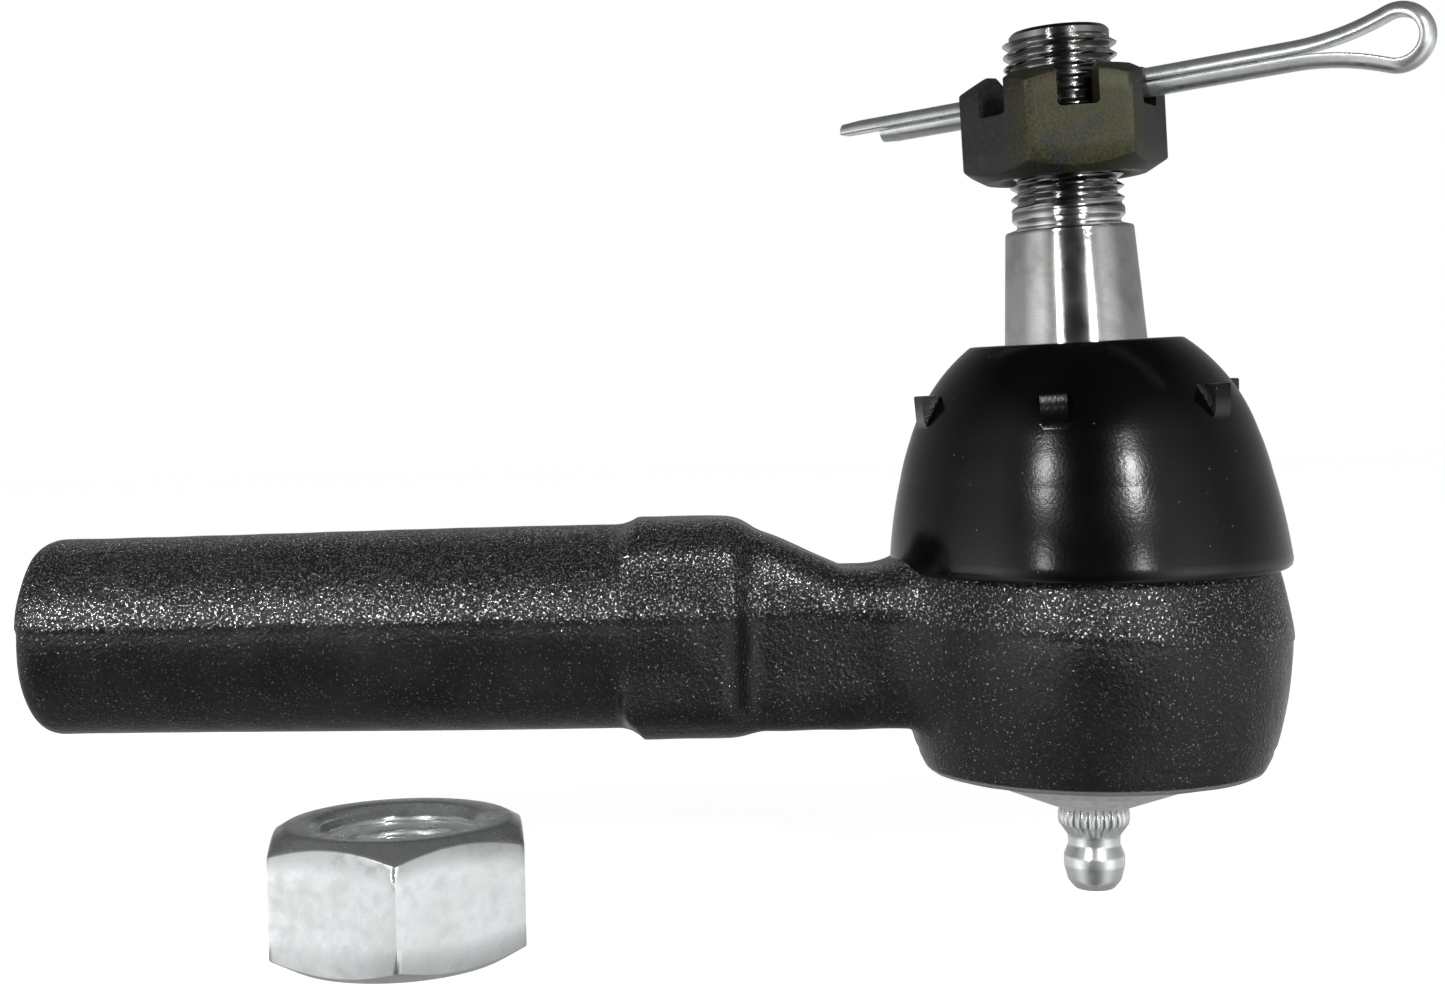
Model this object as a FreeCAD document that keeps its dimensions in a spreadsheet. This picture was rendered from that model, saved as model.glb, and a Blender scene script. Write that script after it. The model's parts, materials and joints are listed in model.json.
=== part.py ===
import FreeCAD, Part
import os
import re
import Sketcher

# Outer tie rod end: a forged socket housing with a female-threaded sleeve, a greaseable ball joint
# and a tapered stud held by a slotted nut and a cotter pin. A loose jam nut goes with it.
# Millimetres. The origin is the ball's centre, the sleeve runs along -X and the stud points up.

Vector = FreeCAD.Vector
Rotation = FreeCAD.Rotation
Placement = FreeCAD.Placement

# Driving sizes: name, value, meaning. Heights are measured from the ball's centre.
# A value that starts with = is worked out from sizes above it.
SIZES = [
    ("ball_radius", 12.5, "stud ball"),
    ("ball_foot", "=0.904 * ball_radius", "depth of the flat ground under the ball"),
    ("neck_radius", 6.0, "stud neck above the ball"),
    ("neck_top", 14.0, "height where the neck starts to flare"),
    ("flare_top", 19.0, "height where the taper starts"),
    ("taper_top", 41.9, "height where the taper ends"),
    ("taper_end_radius", 6.8, "small end of the taper"),
    ("taper_ratio", 8.0, "length of taper for one unit of diameter"),
    ("undercut_radius", 5.5, "thread run-out groove"),
    ("undercut_bevel", 0.5, "height of the bevels beside the groove"),
    ("thread_bottom", 43.2, "height where the stud thread starts"),
    ("thread_top", 62.0, "height where the stud thread ends"),
    ("stud_thread_radius", 6.0, "stud thread M12 x 1.25, major radius"),
    ("stud_thread_depth", 0.68, "depth of the M12 x 1.25 thread in the nut"),
    ("stud_end_bevel", 1.0, "bevel at the stud's end"),
    ("stud_dome", 0.5, "rise of the stud's domed end"),
    ("stud_lean_front", 3.0, "rest lean of the stud to -Y, degrees"),
    ("stud_lean_rod", 3.0, "rest lean of the stud to -X, degrees"),
    ("stud_turn", 59.0, "turn of the cotter hole about the stud, degrees"),
    ("cut_margin", 1.0, "how far a cut runs past the face that it opens"),
    ("running_gap", 0.05, "radial clearance of running fits"),
    ("seat_gap", 0.05, "clearance round parts fitted in a bore"),
    ("liner_wall", 0.8, "polymer bearing liner"),
    ("liner_mouth_angle", 50.5, "half-angle of the liner's upper opening, degrees"),
    ("liner_foot_angle", 27.0, "half-angle of the liner's lower opening, degrees"),
    ("seat_wall", 1.75, "side wall of the seats at the ball's middle"),
    ("seat_floor", 1.4, "lower seat under the liner"),
    ("bore_radius", "=ball_radius + 2 * running_gap + liner_wall + seat_wall + seat_gap", "socket bore"),
    ("bore_top", "=0.52 * ball_radius", "height of the shoulder that stops the upper seat"),
    ("seat_split", 0.5, "height of the joint between the two seats"),
    ("seat_foot", "=ball_radius + 2 * running_gap + liner_wall + seat_floor", "lower seat's foot"),
    ("seat_foot_radius", 11.0, "flat foot of the lower seat"),
    ("seat_skirt", "=seat_foot - 1.8", "depth where the lower seat's cone starts"),
    ("seat_grease_radius", 2.0, "grease hole through the lower seat"),
    ("mouth_radius", "=0.96 * ball_radius", "opening over the ball"),
    ("mouth_bevel", 0.8, "bevel of that opening"),
    ("cover_top", "=seat_foot - 1.2", "depth of the cover's seat"),
    ("head_top", "=bore_top + 3.5", "top of the socket head"),
    ("head_top_radius", "=bore_radius + 2.8", "top of the socket head"),
    ("head_rim", 6.0, "height of the head's shoulder"),
    ("head_rim_radius", "=bore_radius + 4.5", "head's shoulder"),
    ("head_shoulder_arc", 13.5, "side radius between the head's top and its shoulder"),
    ("parting_depth", 2.4, "depth of the forging's parting line on the head"),
    ("parting_radius", "=bore_radius + 6.1", "head at the parting line"),
    ("parting_land", 0.9, "half height of the upright land at the parting line"),
    ("head_base", "=cover_top - 0.6", "depth where the head turns in"),
    ("head_base_radius", "=bore_radius + 4.9", "head at that depth"),
    ("crimp_top", "=cover_top + 1.1", "depth where the crimped lip starts"),
    ("crimp_radius", "=bore_radius + 3.9", "outside of the crimped lip"),
    ("crimp_foot_radius", "=bore_radius + 3.4", "lower edge of the crimped lip"),
    ("crimp_wall", 0.95, "thickness of the lip under the cover"),
    ("crimp_overlap", 1.1, "how far the lip holds the cover's rim"),
    ("cover_radius", "=bore_radius + 2.2", "end cover"),
    ("cover_wall", 1.8, "end cover plate"),
    ("cover_flat", "=bore_radius + 0.1", "inner radius of the cover's flat rim"),
    ("cover_knee_radius", 10.2, "edge of the cover's boss"),
    ("cover_knee", "=cover_top + 4.6", "depth of that edge"),
    ("cover_boss_radius", 4.4, "flat face under the grease fitting"),
    ("cover_boss", "=cover_top + 6.8", "depth of that face"),
    ("spring_outer", 9.4, "conical preload spring"),
    ("spring_inner", 5.0, "hole of the preload spring"),
    ("spring_wall", 0.9, "thickness of the preload spring"),
    ("spring_rise", 0.75, "cone height of the preload spring"),
    ("fitting_shank", 2.95, "grease fitting's drive-in shank"),
    ("fitting_shank_top", "=cover_boss - 4.2", "depth of the shank's inner end"),
    ("fitting_collar", 3.9, "knurled collar"),
    ("fitting_collar_foot", "=cover_boss + 1.2", "depth of the collar's lower edge"),
    ("fitting_neck", 2.8, "groove behind the head"),
    ("fitting_neck_top", "=cover_boss + 3.5", "depth where the groove starts"),
    ("fitting_neck_foot", "=cover_boss + 4.5", "depth where the groove ends"),
    ("fitting_head", 3.3, "coupler head"),
    ("fitting_head_depth", "=cover_boss + 6", "depth of the head's widest line"),
    ("fitting_head_arc", 4.0, "side radius of the head below its widest line"),
    ("fitting_tip", 2.2, "head's tip"),
    ("fitting_tip_depth", "=cover_boss + 9.2", "depth of the tip"),
    ("fitting_mouth", 0.9, "hole that the check ball closes"),
    ("fitting_mouth_land", 0.35, "length of that hole"),
    ("fitting_chamber", 1.35, "bore behind the check ball"),
    ("fitting_shoulder", "=cover_boss - 1.4", "depth of the shoulder that the spring stands on"),
    ("fitting_duct", 0.8, "grease duct above the spring"),
    ("check_ball_radius", 1.15, "grease fitting's check ball"),
    ("check_ball_gap", 0.1, "gap between the check ball and its mouth"),
    ("check_spring_radius", 0.95, "check spring, middle of the wire"),
    ("check_spring_wire", 0.14, "check spring's wire radius"),
    ("check_spring_turns", 6.0, "turns of the check spring"),
    ("sleeve_length", 113.8, "from the ball's centre to the open end"),
    ("sleeve_end_radius", 10.6, "sleeve at the open end"),
    ("sleeve_root_radius", 11.1, "sleeve at the wrench block"),
    ("sleeve_end_round", 1.2, "rounding of the open end"),
    ("rod_thread_minor", 7.25, "tapped bore M16 x 1.5, minor radius"),
    ("rod_thread_major", 8.0, "tapped bore, major radius"),
    ("rod_bore_depth", 58.0, "full-diameter depth of the bore"),
    ("rod_drill_point", 4.2, "depth of the drill's cone"),
    ("rod_bore_bevel", 1.0, "countersink at the open end"),
    ("block_start", 51.2, "left end of the wrench block, from the ball"),
    ("block_end", 38.4, "right end of the wrench block"),
    ("block_flat", 11.2, "half distance across the wrench flats"),
    ("block_top", 11.1, "top of the block"),
    ("block_foot", 11.2, "depth of the block's underside"),
    ("block_corner_width", 7.2, "half width of the block's top and underside"),
    ("block_corner_drop", 2.7, "height of the block's sloping corners"),
    ("block_overlap", 1.0, "how far the arm runs into the block"),
    ("neck_half_width", 8.8, "half width of the arm"),
    ("neck_high_end", 38.0, "where the arm starts to slope down, from the ball"),
    ("neck_low_start", 27.2, "where the slope ends"),
    ("neck_high", 10.9, "height of the arm beside the block"),
    ("neck_low", 6.1, "height of the arm beside the head"),
    ("neck_foot", 10.6, "depth of the arm's underside"),
    ("neck_root", 12.0, "how near the arm's root comes to the ball's axis"),
    ("neck_web", 10.0, "plan radius where the arm meets the head"),
    ("neck_round", 3.0, "rounding along the arm"),
    ("boot_lip", 7.9, "height of the boot's lower lip"),
    ("boot_lip_radius", "=bore_radius + 6.3", "boot's lower lip"),
    ("boot_skirt", 20.0, "height where the skirt meets the dome"),
    ("boot_skirt_radius", "=bore_radius + 3.2", "boot at that height"),
    ("boot_top", 29.9, "boot's top face"),
    ("boot_top_radius", 11.4, "boot's top face"),
    ("boot_skirt_arc", 58.0, "side radius of the skirt"),
    ("boot_dome_arc", 19.0, "side radius of the dome"),
    ("boot_wall", 1.6, "boot wall"),
    ("boot_collar_height", 5.9, "length of the collar on the stud"),
    ("boot_collar_wall", 3.4, "collar's wall"),
    ("boot_collar_gap", 0.08, "clearance between the collar and the stud"),
    ("tab_count", 6.0, "wedge tabs round the boot"),
    ("tab_turn", -19.0, "turn of the first tab, degrees"),
    ("tab_top", 25.0, "height of the tabs"),
    ("tab_reach", "=bore_radius + 2.7", "outer face of the tabs"),
    ("tab_width", 2.8, "width of the tabs"),
    ("tab_foot", 20.3, "height where the tabs run out"),
    ("nut_flats", 19.0, "slotted nut across flats"),
    ("nut_foot", 47.4, "height of the slotted nut's underside"),
    ("nut_height", 10.9, "slotted nut"),
    ("nut_face_radius", 8.5, "round face left by the nut's chamfers"),
    ("nut_chamfer", 30.0, "chamfer angle, degrees"),
    ("nut_slots", 6.0, "slots round the nut"),
    ("nut_slot_width", 4.3, "slots for the cotter pin"),
    ("nut_slot_depth", 4.3, "slots for the cotter pin"),
    ("countersink", 0.5, "nut countersinks"),
    ("cotter_radius", 1.45, "cotter pin, both legs together"),
    ("cotter_slit", 0.05, "half gap between the legs"),
    ("cotter_hole_gap", 0.5, "radial clearance of the cotter hole"),
    ("cotter_lift", 0.5, "gap between the slot's floor and the pin"),
    ("cotter_tilt", 2.0, "slope of the pin in its hole, degrees"),
    ("cotter_long_leg", 26.0, "from the stud's axis to the longer tip"),
    ("cotter_short_leg", 21.1, "from the stud's axis to the shorter tip"),
    ("cotter_eye_centre", 34.3, "from the stud's axis to the eye's centre"),
    ("cotter_eye_radius", 2.05, "inside of the eye"),
    ("cotter_shoulder", 26.0, "radius of the bends behind the eye"),
    ("jam_flats", 24.0, "jam nut across flats"),
    ("jam_height", 13.0, "jam nut"),
    ("jam_face_radius", 11.0, "round face left by the jam nut's chamfers"),
    ("jam_left", 72.3, "jam nut's place, towards the open end"),
    ("jam_front", 20.0, "jam nut's place, in front of the sleeve"),
    ("jam_turn", 38.7, "turn of the jam nut, degrees"),
]

ALIASES = [name for name, value, meaning in SIZES]

doc = FreeCAD.newDocument("tie_rod_end")
sheet = doc.addObject("Spreadsheet::Sheet", "sizes")


def fill_sheet():
    """Write one size per row: its name, its value with the name as alias, and what it is."""
    for row, (name, value, meaning) in enumerate(SIZES, start=1):
        sheet.set(f"A{row}", name)
        sheet.set(f"B{row}", str(value))
        sheet.set(f"C{row}", meaning)
        sheet.setAlias(f"B{row}", name)
    doc.recompute()


def linked(text):
    """The expression with every size's name pointing at the sheet."""
    return re.sub(r"[a-z_]+", lambda m: "sizes." + m.group() if m.group() in ALIASES else m.group(), text)


def value_of(text):
    """What an expression is worth now."""
    return float(sheet.evalExpression(text))


def bind(thing, path, text):
    """Tie a property of thing to an expression of the sheet's sizes."""
    thing.setExpression(path, linked(text))


# ---------------------------------------------------------------- sketch and feature helpers

def new_body(label):
    """An empty body whose label is the sub-part's name."""
    body = doc.addObject("PartDesign::Body", label)
    body.Label = label
    return body


def origin_plane(body, role):
    """One of the body's own origin planes or axes."""
    return next(item for item in body.Origin.OriginFeatures if item.Role == role)


def new_sketch(body, name, plane, offset="0"):
    """An empty sketch on one of the body's origin planes, moved along the plane's normal."""
    sketch = body.newObject("Sketcher::SketchObject", f"{body.Name}_{name}")
    sketch.AttachmentSupport = [(origin_plane(body, plane), "")]
    sketch.MapMode = "FlatFace"
    if offset != "0":
        bind(sketch, "AttachmentOffset.Base.z", offset)
    return sketch


def arc_centre(start, end, radius, side):
    """Centre of an arc from start to end: to the left of the way for side 1, to the right for -1."""
    middle = (start + end) * 0.5
    along = end - start
    half = along.Length / 2
    across = Vector(-along.y, along.x, 0).normalize()
    return middle + across * side * max(radius * radius - half * half, 0) ** 0.5


def add_segment(sketch, start, end, bend):
    """Add a line, or an arc for bend = (radius, side). Returns its number and its two end points."""
    if bend is None:
        return sketch.addGeometry(Part.LineSegment(start, end), False), 1, 2
    radius = value_of(bend[0])
    centre = arc_centre(start, end, radius, bend[1])
    circle = Part.Circle(centre, Vector(0, 0, 1), radius)
    first, last = (start, end) if bend[1] > 0 else (end, start)
    arc = Part.ArcOfCircle(circle, circle.parameter(first), circle.parameter(last))
    number = sketch.addGeometry(arc, False)
    ends = (1, 2) if bend[1] > 0 else (2, 1)
    return number, ends[0], ends[1]


def hold_point(sketch, number, point, corner):
    """Hold one end of a segment at a corner given by two expressions."""
    for text, kind, axis in ((corner[0], "DistanceX", -2), (corner[1], "DistanceY", -1)):
        if text == "0":
            sketch.addConstraint(Sketcher.Constraint("PointOnObject", number, point, axis))
            continue
        held = sketch.addConstraint(Sketcher.Constraint(kind, -1, 1, number, point, value_of(text)))
        bind(sketch, f"Constraints[{held}]", text)


def outline(sketch, corners, bends=None, closed=True):
    """Draw a chain of lines and arcs through corners; bends maps a segment's number to (radius, side)."""
    bends = bends or {}
    places = [Vector(value_of(x), value_of(y), 0) for x, y in corners]
    count = len(corners) if closed else len(corners) - 1
    drawn = []
    for step in range(count):
        start, end = places[step], places[(step + 1) % len(corners)]
        drawn.append(add_segment(sketch, start, end, bends.get(step)))
    for step in range(count if closed else count - 1):
        number, _, last = drawn[step]
        following, first, _ = drawn[(step + 1) % count]
        sketch.addConstraint(Sketcher.Constraint("Coincident", number, last, following, first))
    for step, (number, first, last) in enumerate(drawn):
        hold_point(sketch, number, first, corners[step])
        if step in bends:
            held = sketch.addConstraint(Sketcher.Constraint("Radius", number, value_of(bends[step][0])))
            bind(sketch, f"Constraints[{held}]", bends[step][0])
    if not closed:
        hold_point(sketch, drawn[-1][0], drawn[-1][2], corners[-1])


def ring(sketch, centre, radius):
    """A circle whose centre is given by two expressions."""
    middle = Vector(value_of(centre[0]), value_of(centre[1]), 0)
    number = sketch.addGeometry(Part.Circle(middle, Vector(0, 0, 1), value_of(radius)), False)
    hold_point(sketch, number, 3, centre)
    held = sketch.addConstraint(Sketcher.Constraint("Radius", number, value_of(radius)))
    bind(sketch, f"Constraints[{held}]", radius)


def add_feature(body, kind, sketch, name):
    """A feature of the body that uses the sketch as its profile."""
    feature = body.newObject(f"PartDesign::{kind}", f"{body.Name}_{name}")
    feature.Profile = sketch
    sketch.Visibility = False
    return feature


def turned(body, name, corners, bends=None, kind="Revolution", axis="V_Axis"):
    """Turn an outline in the XZ plane about Z (V_Axis) or X (H_Axis): Revolution adds, Groove cuts."""
    sketch = new_sketch(body, f"{name}_outline", "XZ_Plane")
    outline(sketch, corners, bends)
    feature = add_feature(body, kind, sketch, name)
    feature.ReferenceAxis = (sketch, [axis])
    feature.Angle = 360.0
    return feature


def pushed(body, name, sketch, length, kind="Pad", both_ways=False, backwards=False):
    """Push a sketch along its normal: Pad adds, Pocket cuts."""
    feature = add_feature(body, kind, sketch, name)
    feature.Type = "Length"
    bind(feature, "Length", length)
    feature.Midplane = both_ways
    feature.Reversed = backwards
    return feature


def repeated(body, name, feature, count):
    """Repeat a feature round the body's Z axis."""
    pattern = body.newObject("PartDesign::PolarPattern", f"{body.Name}_{name}")
    pattern.Originals = [feature]
    pattern.Axis = (origin_plane(body, "Z_Axis"), [""])
    pattern.Angle = 360.0
    bind(pattern, "Occurrences", count)
    body.Tip = pattern


def edges_where(feature, test):
    """Names of the feature's edges for which test(edge) holds."""
    return [f"Edge{n}" for n, edge in enumerate(feature.Shape.Edges, start=1) if test(edge)]


def dressed(body, kind, base, test, path, text):
    """Round (Fillet) or bevel (Chamfer) the edges of base that pass the test."""
    doc.recompute()
    names = edges_where(base, test)
    feature = body.newObject(f"PartDesign::{kind}", f"{body.Name}_{kind.lower()}_{base.Name}")
    feature.Base = (base, names)
    bind(feature, path, text)
    return feature


# ---------------------------------------------------------------- places

def stud_frame():
    """Where the stud and what it carries stand at rest: leaning a little about the ball's centre."""
    to_rod = Rotation(Vector(0, 1, 0), -value_of("stud_lean_rod"))
    to_front = Rotation(Vector(1, 0, 0), value_of("stud_lean_front"))
    return Placement(Vector(0, 0, 0), to_front.multiply(to_rod))


def turned_on_stud(angle):
    """The stud's frame, turned about the stud's own axis."""
    spin = Placement(Vector(0, 0, 0), Rotation(Vector(0, 0, 1), value_of(angle)))
    return stud_frame().multiply(spin)


# ---------------------------------------------------------------- housing

SOCKET_LINER = "ball_radius + running_gap + liner_wall + running_gap"


def make_housing():
    """The forging: threaded sleeve, wrench block, arm and socket head with its crimped lip."""
    body = new_body("housing")
    add_arm(body)
    turned(body, "head", [
        ("0", "head_top"), ("head_top_radius", "head_top"), ("head_rim_radius", "head_rim"),
        ("parting_radius", "parting_land - parting_depth"),
        ("parting_radius", "0 - parting_land - parting_depth"),
        ("head_base_radius", "0 - head_base"), ("crimp_radius", "0 - crimp_top"),
        ("crimp_foot_radius", "0 - cover_top - cover_wall - crimp_wall"),
        ("0", "0 - cover_top - cover_wall - crimp_wall"),
    ], bends={1: ("head_shoulder_arc", -1)})
    add_sleeve(body)
    add_wrench_block(body)
    cut_socket(body)
    cut_rod_bore(body)


def add_arm(body):
    """The arm between block and head: its plan outline, cut down to a slope above, its corners rounded."""
    start = "0 - block_end - block_overlap"
    web_x = "0 - sqrt((head_rim_radius + neck_web)^2 - (neck_half_width + neck_web)^2)"
    share = "head_rim_radius / (head_rim_radius + neck_web)"
    root_y = f"(neck_half_width + neck_web) * {share}"
    plan = new_sketch(body, "arm_plan", "XY_Plane", "0 - neck_foot")
    outline(plan, [
        (start, "neck_half_width"), (start, "0 - neck_half_width"), (web_x, "0 - neck_half_width"),
        (f"({web_x}) * {share}", f"0 - {root_y}"), ("0 - neck_root", f"0 - {root_y}"),
        ("0 - neck_root", root_y), (f"({web_x}) * {share}", root_y), (web_x, "neck_half_width"),
    ], bends={2: ("neck_web", -1), 6: ("neck_web", -1)})
    pushed(body, "arm", plan, "neck_foot + neck_high")
    above = new_sketch(body, "arm_slope", "XZ_Plane")
    outline(above, [
        ("0 - neck_high_end", "neck_high"), ("0 - neck_low_start", "neck_low"),
        ("cut_margin - neck_root", "neck_low"), ("cut_margin - neck_root", "neck_high + cut_margin"),
        ("0 - neck_high_end", "neck_high + cut_margin"),
    ])
    sloped = pushed(body, "arm_cut", above, "2 * parting_radius", kind="Pocket", both_ways=True)
    half_width = value_of("neck_half_width")

    def along_the_arm(edge):
        """The long upper and lower corners of the arm, as far as the web."""
        box = edge.BoundBox
        flat_side = abs(abs(box.YMin) - half_width) < 0.01 and box.YLength < 0.01
        return flat_side and box.XLength > 1

    dressed(body, "Fillet", sloped, along_the_arm, "Radius", "neck_round")


def add_sleeve(body):
    """The long sleeve, slightly thinner towards its open end, with a rounded edge there."""
    turned(body, "sleeve", [
        ("0 - sleeve_length", "0"), ("0 - sleeve_length", "sleeve_end_radius - sleeve_end_round"),
        ("0 - sleeve_length + sleeve_end_round", "sleeve_end_radius"),
        ("0 - block_start", "sleeve_root_radius"),
        ("0 - block_end - block_overlap", "sleeve_root_radius"), ("0 - block_end - block_overlap", "0"),
    ], bends={1: ("sleeve_end_round", -1)}, axis="H_Axis")


def add_wrench_block(body):
    """The block with two wrench flats, its long corners cut at a slope."""
    section = new_sketch(body, "block_section", "YZ_Plane", "0 - block_start")
    outline(section, [
        ("block_corner_width", "block_top"), ("block_flat", "block_top - block_corner_drop"),
        ("block_flat", "block_corner_drop - block_foot"), ("block_corner_width", "0 - block_foot"),
        ("0 - block_corner_width", "0 - block_foot"), ("0 - block_flat", "block_corner_drop - block_foot"),
        ("0 - block_flat", "block_top - block_corner_drop"), ("0 - block_corner_width", "block_top"),
    ])
    pushed(body, "block", section, "block_start - block_end")


def cut_socket(body):
    """The socket: opening over the ball, bore for the seats and pocket for the end cover."""
    turned(body, "socket", [
        ("0", "head_top + cut_margin"),
        ("mouth_radius + mouth_bevel + cut_margin", "head_top + cut_margin"),
        ("mouth_radius", "head_top - mouth_bevel"),
        ("mouth_radius", "bore_top"), ("bore_radius", "bore_top"), ("bore_radius", "0 - cover_top"),
        ("cover_radius + seat_gap", "0 - cover_top"),
        ("cover_radius + seat_gap", "0 - cover_top - cover_wall"),
        ("cover_radius - crimp_overlap", "0 - cover_top - cover_wall"),
        ("cover_radius - crimp_overlap", "0 - cover_top - cover_wall - crimp_wall - cut_margin"),
        ("0", "0 - cover_top - cover_wall - crimp_wall - cut_margin"),
    ], kind="Groove")


def cut_rod_bore(body):
    """The tapped bore for the tie rod, at its minor radius, with a countersink and a drill point."""
    turned(body, "rod_bore", [
        ("0 - sleeve_length - cut_margin", "0"),
        ("0 - sleeve_length - cut_margin", "rod_thread_minor + rod_bore_bevel + cut_margin"),
        ("0 - sleeve_length + rod_bore_bevel", "rod_thread_minor"),
        ("0 - sleeve_length + rod_bore_depth", "rod_thread_minor"),
        ("0 - sleeve_length + rod_bore_depth + rod_drill_point", "0"),
    ], kind="Groove", axis="H_Axis")


# ---------------------------------------------------------------- ball joint

COTTER_HEIGHT = "nut_foot + nut_height - nut_slot_depth + cotter_lift + cotter_radius"


def make_ball_stud():
    """Ball, neck, 1:8 taper and threaded end in one turned piece, cross-drilled for the cotter."""
    body = new_body("ball_stud")
    taper_start = "taper_end_radius + (taper_top - flare_top) / (2 * taper_ratio)"
    turned(body, "stud", [
        ("0", "0 - ball_foot"), ("sqrt(ball_radius^2 - ball_foot^2)", "0 - ball_foot"),
        ("neck_radius", "sqrt(ball_radius^2 - neck_radius^2)"), ("neck_radius", "neck_top"),
        (taper_start, "flare_top"), ("taper_end_radius", "taper_top"),
        ("undercut_radius", "taper_top + undercut_bevel"),
        ("undercut_radius", "thread_bottom - undercut_bevel"),
        ("stud_thread_radius", "thread_bottom"), ("stud_thread_radius", "thread_top"),
        ("stud_thread_radius - stud_end_bevel", "thread_top + stud_end_bevel"),
        ("0", "thread_top + stud_end_bevel + stud_dome"),
    ], bends={
        1: ("ball_radius", 1),
        10: ("((stud_thread_radius - stud_end_bevel)^2 + stud_dome^2) / (2 * stud_dome)", 1),
    })
    hole = new_sketch(body, "cotter_hole", "XZ_Plane")
    ring(hole, ("0", COTTER_HEIGHT), "cotter_radius + cotter_hole_gap")
    pushed(body, "cotter_drilling", hole, "4 * stud_thread_radius", kind="Pocket", both_ways=True)
    body.Placement = turned_on_stud("stud_turn")


def make_bearing_liner():
    """Thin polymer shell between the ball and its seats, open above for the neck and below for grease."""
    body = new_body("bearing_liner")
    inner = "ball_radius + running_gap"
    outer = "ball_radius + running_gap + liner_wall"
    turned(body, "shell", [
        (f"({inner}) * sin(liner_foot_angle)", f"0 - ({inner}) * cos(liner_foot_angle)"),
        (f"({outer}) * sin(liner_foot_angle)", f"0 - ({outer}) * cos(liner_foot_angle)"),
        (f"({outer}) * sin(liner_mouth_angle)", f"({outer}) * cos(liner_mouth_angle)"),
        (f"({inner}) * sin(liner_mouth_angle)", f"({inner}) * cos(liner_mouth_angle)"),
    ], bends={1: (outer, 1), 3: (inner, -1)})
    body.Placement = stud_frame()


def make_upper_ball_seat():
    """Pressed ring above the ball's equator, spherical inside, stopped by the bore's shoulder."""
    body = new_body("upper_ball_seat")
    turned(body, "ring", [
        (f"sqrt(({SOCKET_LINER})^2 - seat_split^2)", "seat_split"),
        ("bore_radius - seat_gap", "seat_split"), ("bore_radius - seat_gap", "bore_top"),
        (f"sqrt(({SOCKET_LINER})^2 - bore_top^2)", "bore_top"),
    ], bends={3: (SOCKET_LINER, -1)})


def make_lower_ball_seat():
    """Cup under the ball, pushed up by the preload spring, with a grease hole."""
    body = new_body("lower_ball_seat")
    turned(body, "cup", [
        ("seat_grease_radius", f"0 - sqrt(({SOCKET_LINER})^2 - seat_grease_radius^2)"),
        ("seat_grease_radius", "0 - seat_foot"), ("seat_foot_radius", "0 - seat_foot"),
        ("bore_radius - seat_gap", "0 - seat_skirt"), ("bore_radius - seat_gap", "seat_split - seat_gap"),
        (f"sqrt(({SOCKET_LINER})^2 - (seat_split - seat_gap)^2)", "seat_split - seat_gap"),
    ], bends={5: (SOCKET_LINER, -1)})


def make_preload_spring():
    """Conical spring washer between the lower seat and the end cover."""
    body = new_body("preload_spring")
    turned(body, "washer", [
        ("spring_inner", "0 - seat_foot - seat_gap"),
        ("spring_outer", "0 - seat_foot - seat_gap - spring_rise"),
        ("spring_outer", "0 - seat_foot - seat_gap - spring_rise - spring_wall"),
        ("spring_inner", "0 - seat_foot - seat_gap - spring_wall"),
    ])


def make_end_cover():
    """Dished plate crimped into the housing, holed for the grease fitting."""
    body = new_body("end_cover")
    turned(body, "plate", [
        ("cover_radius", "0 - cover_top"), ("cover_flat", "0 - cover_top"),
        ("cover_knee_radius", "cover_wall - cover_knee"), ("cover_boss_radius", "cover_wall - cover_boss"),
        ("fitting_shank + seat_gap", "cover_wall - cover_boss"),
        ("fitting_shank + seat_gap", "0 - cover_boss"),
        ("cover_boss_radius", "0 - cover_boss"), ("cover_knee_radius", "0 - cover_knee"),
        ("cover_flat", "0 - cover_top - cover_wall"), ("cover_radius", "0 - cover_top - cover_wall"),
    ])


# ---------------------------------------------------------------- grease fitting

CHECK_BALL_DEPTH = ("fitting_tip_depth - fitting_mouth_land"
                    " - sqrt(check_ball_radius^2 - fitting_mouth^2) - check_ball_gap")


def make_grease_fitting_body():
    """Drive-in grease fitting: shank, collar, grooved neck and coupler head, bored for ball and spring."""
    body = new_body("grease_fitting_body")
    turned(body, "fitting", [
        ("fitting_duct", "0 - fitting_shank_top"), ("fitting_shank", "0 - fitting_shank_top"),
        ("fitting_shank", "0 - cover_boss"), ("fitting_collar", "0 - cover_boss"),
        ("fitting_collar", "0 - fitting_collar_foot"), ("fitting_neck", "0 - fitting_neck_top"),
        ("fitting_neck", "0 - fitting_neck_foot"), ("fitting_head", "0 - fitting_head_depth"),
        ("fitting_tip", "0 - fitting_tip_depth"), ("fitting_mouth", "0 - fitting_tip_depth"),
        ("fitting_mouth", "fitting_mouth_land - fitting_tip_depth"),
        ("fitting_chamber", "fitting_mouth_land + fitting_chamber - fitting_mouth - fitting_tip_depth"),
        ("fitting_chamber", "0 - fitting_shoulder"), ("fitting_duct", "0 - fitting_shoulder"),
    ], bends={7: ("fitting_head_arc", -1)})


def make_grease_fitting_ball():
    """Check ball that closes the fitting's mouth."""
    ball = doc.addObject("Part::Sphere", "grease_fitting_ball")
    ball.Label = "grease_fitting_ball"
    bind(ball, "Radius", "check_ball_radius")
    bind(ball, "Placement.Base.z", f"0 - ({CHECK_BALL_DEPTH})")


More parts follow.
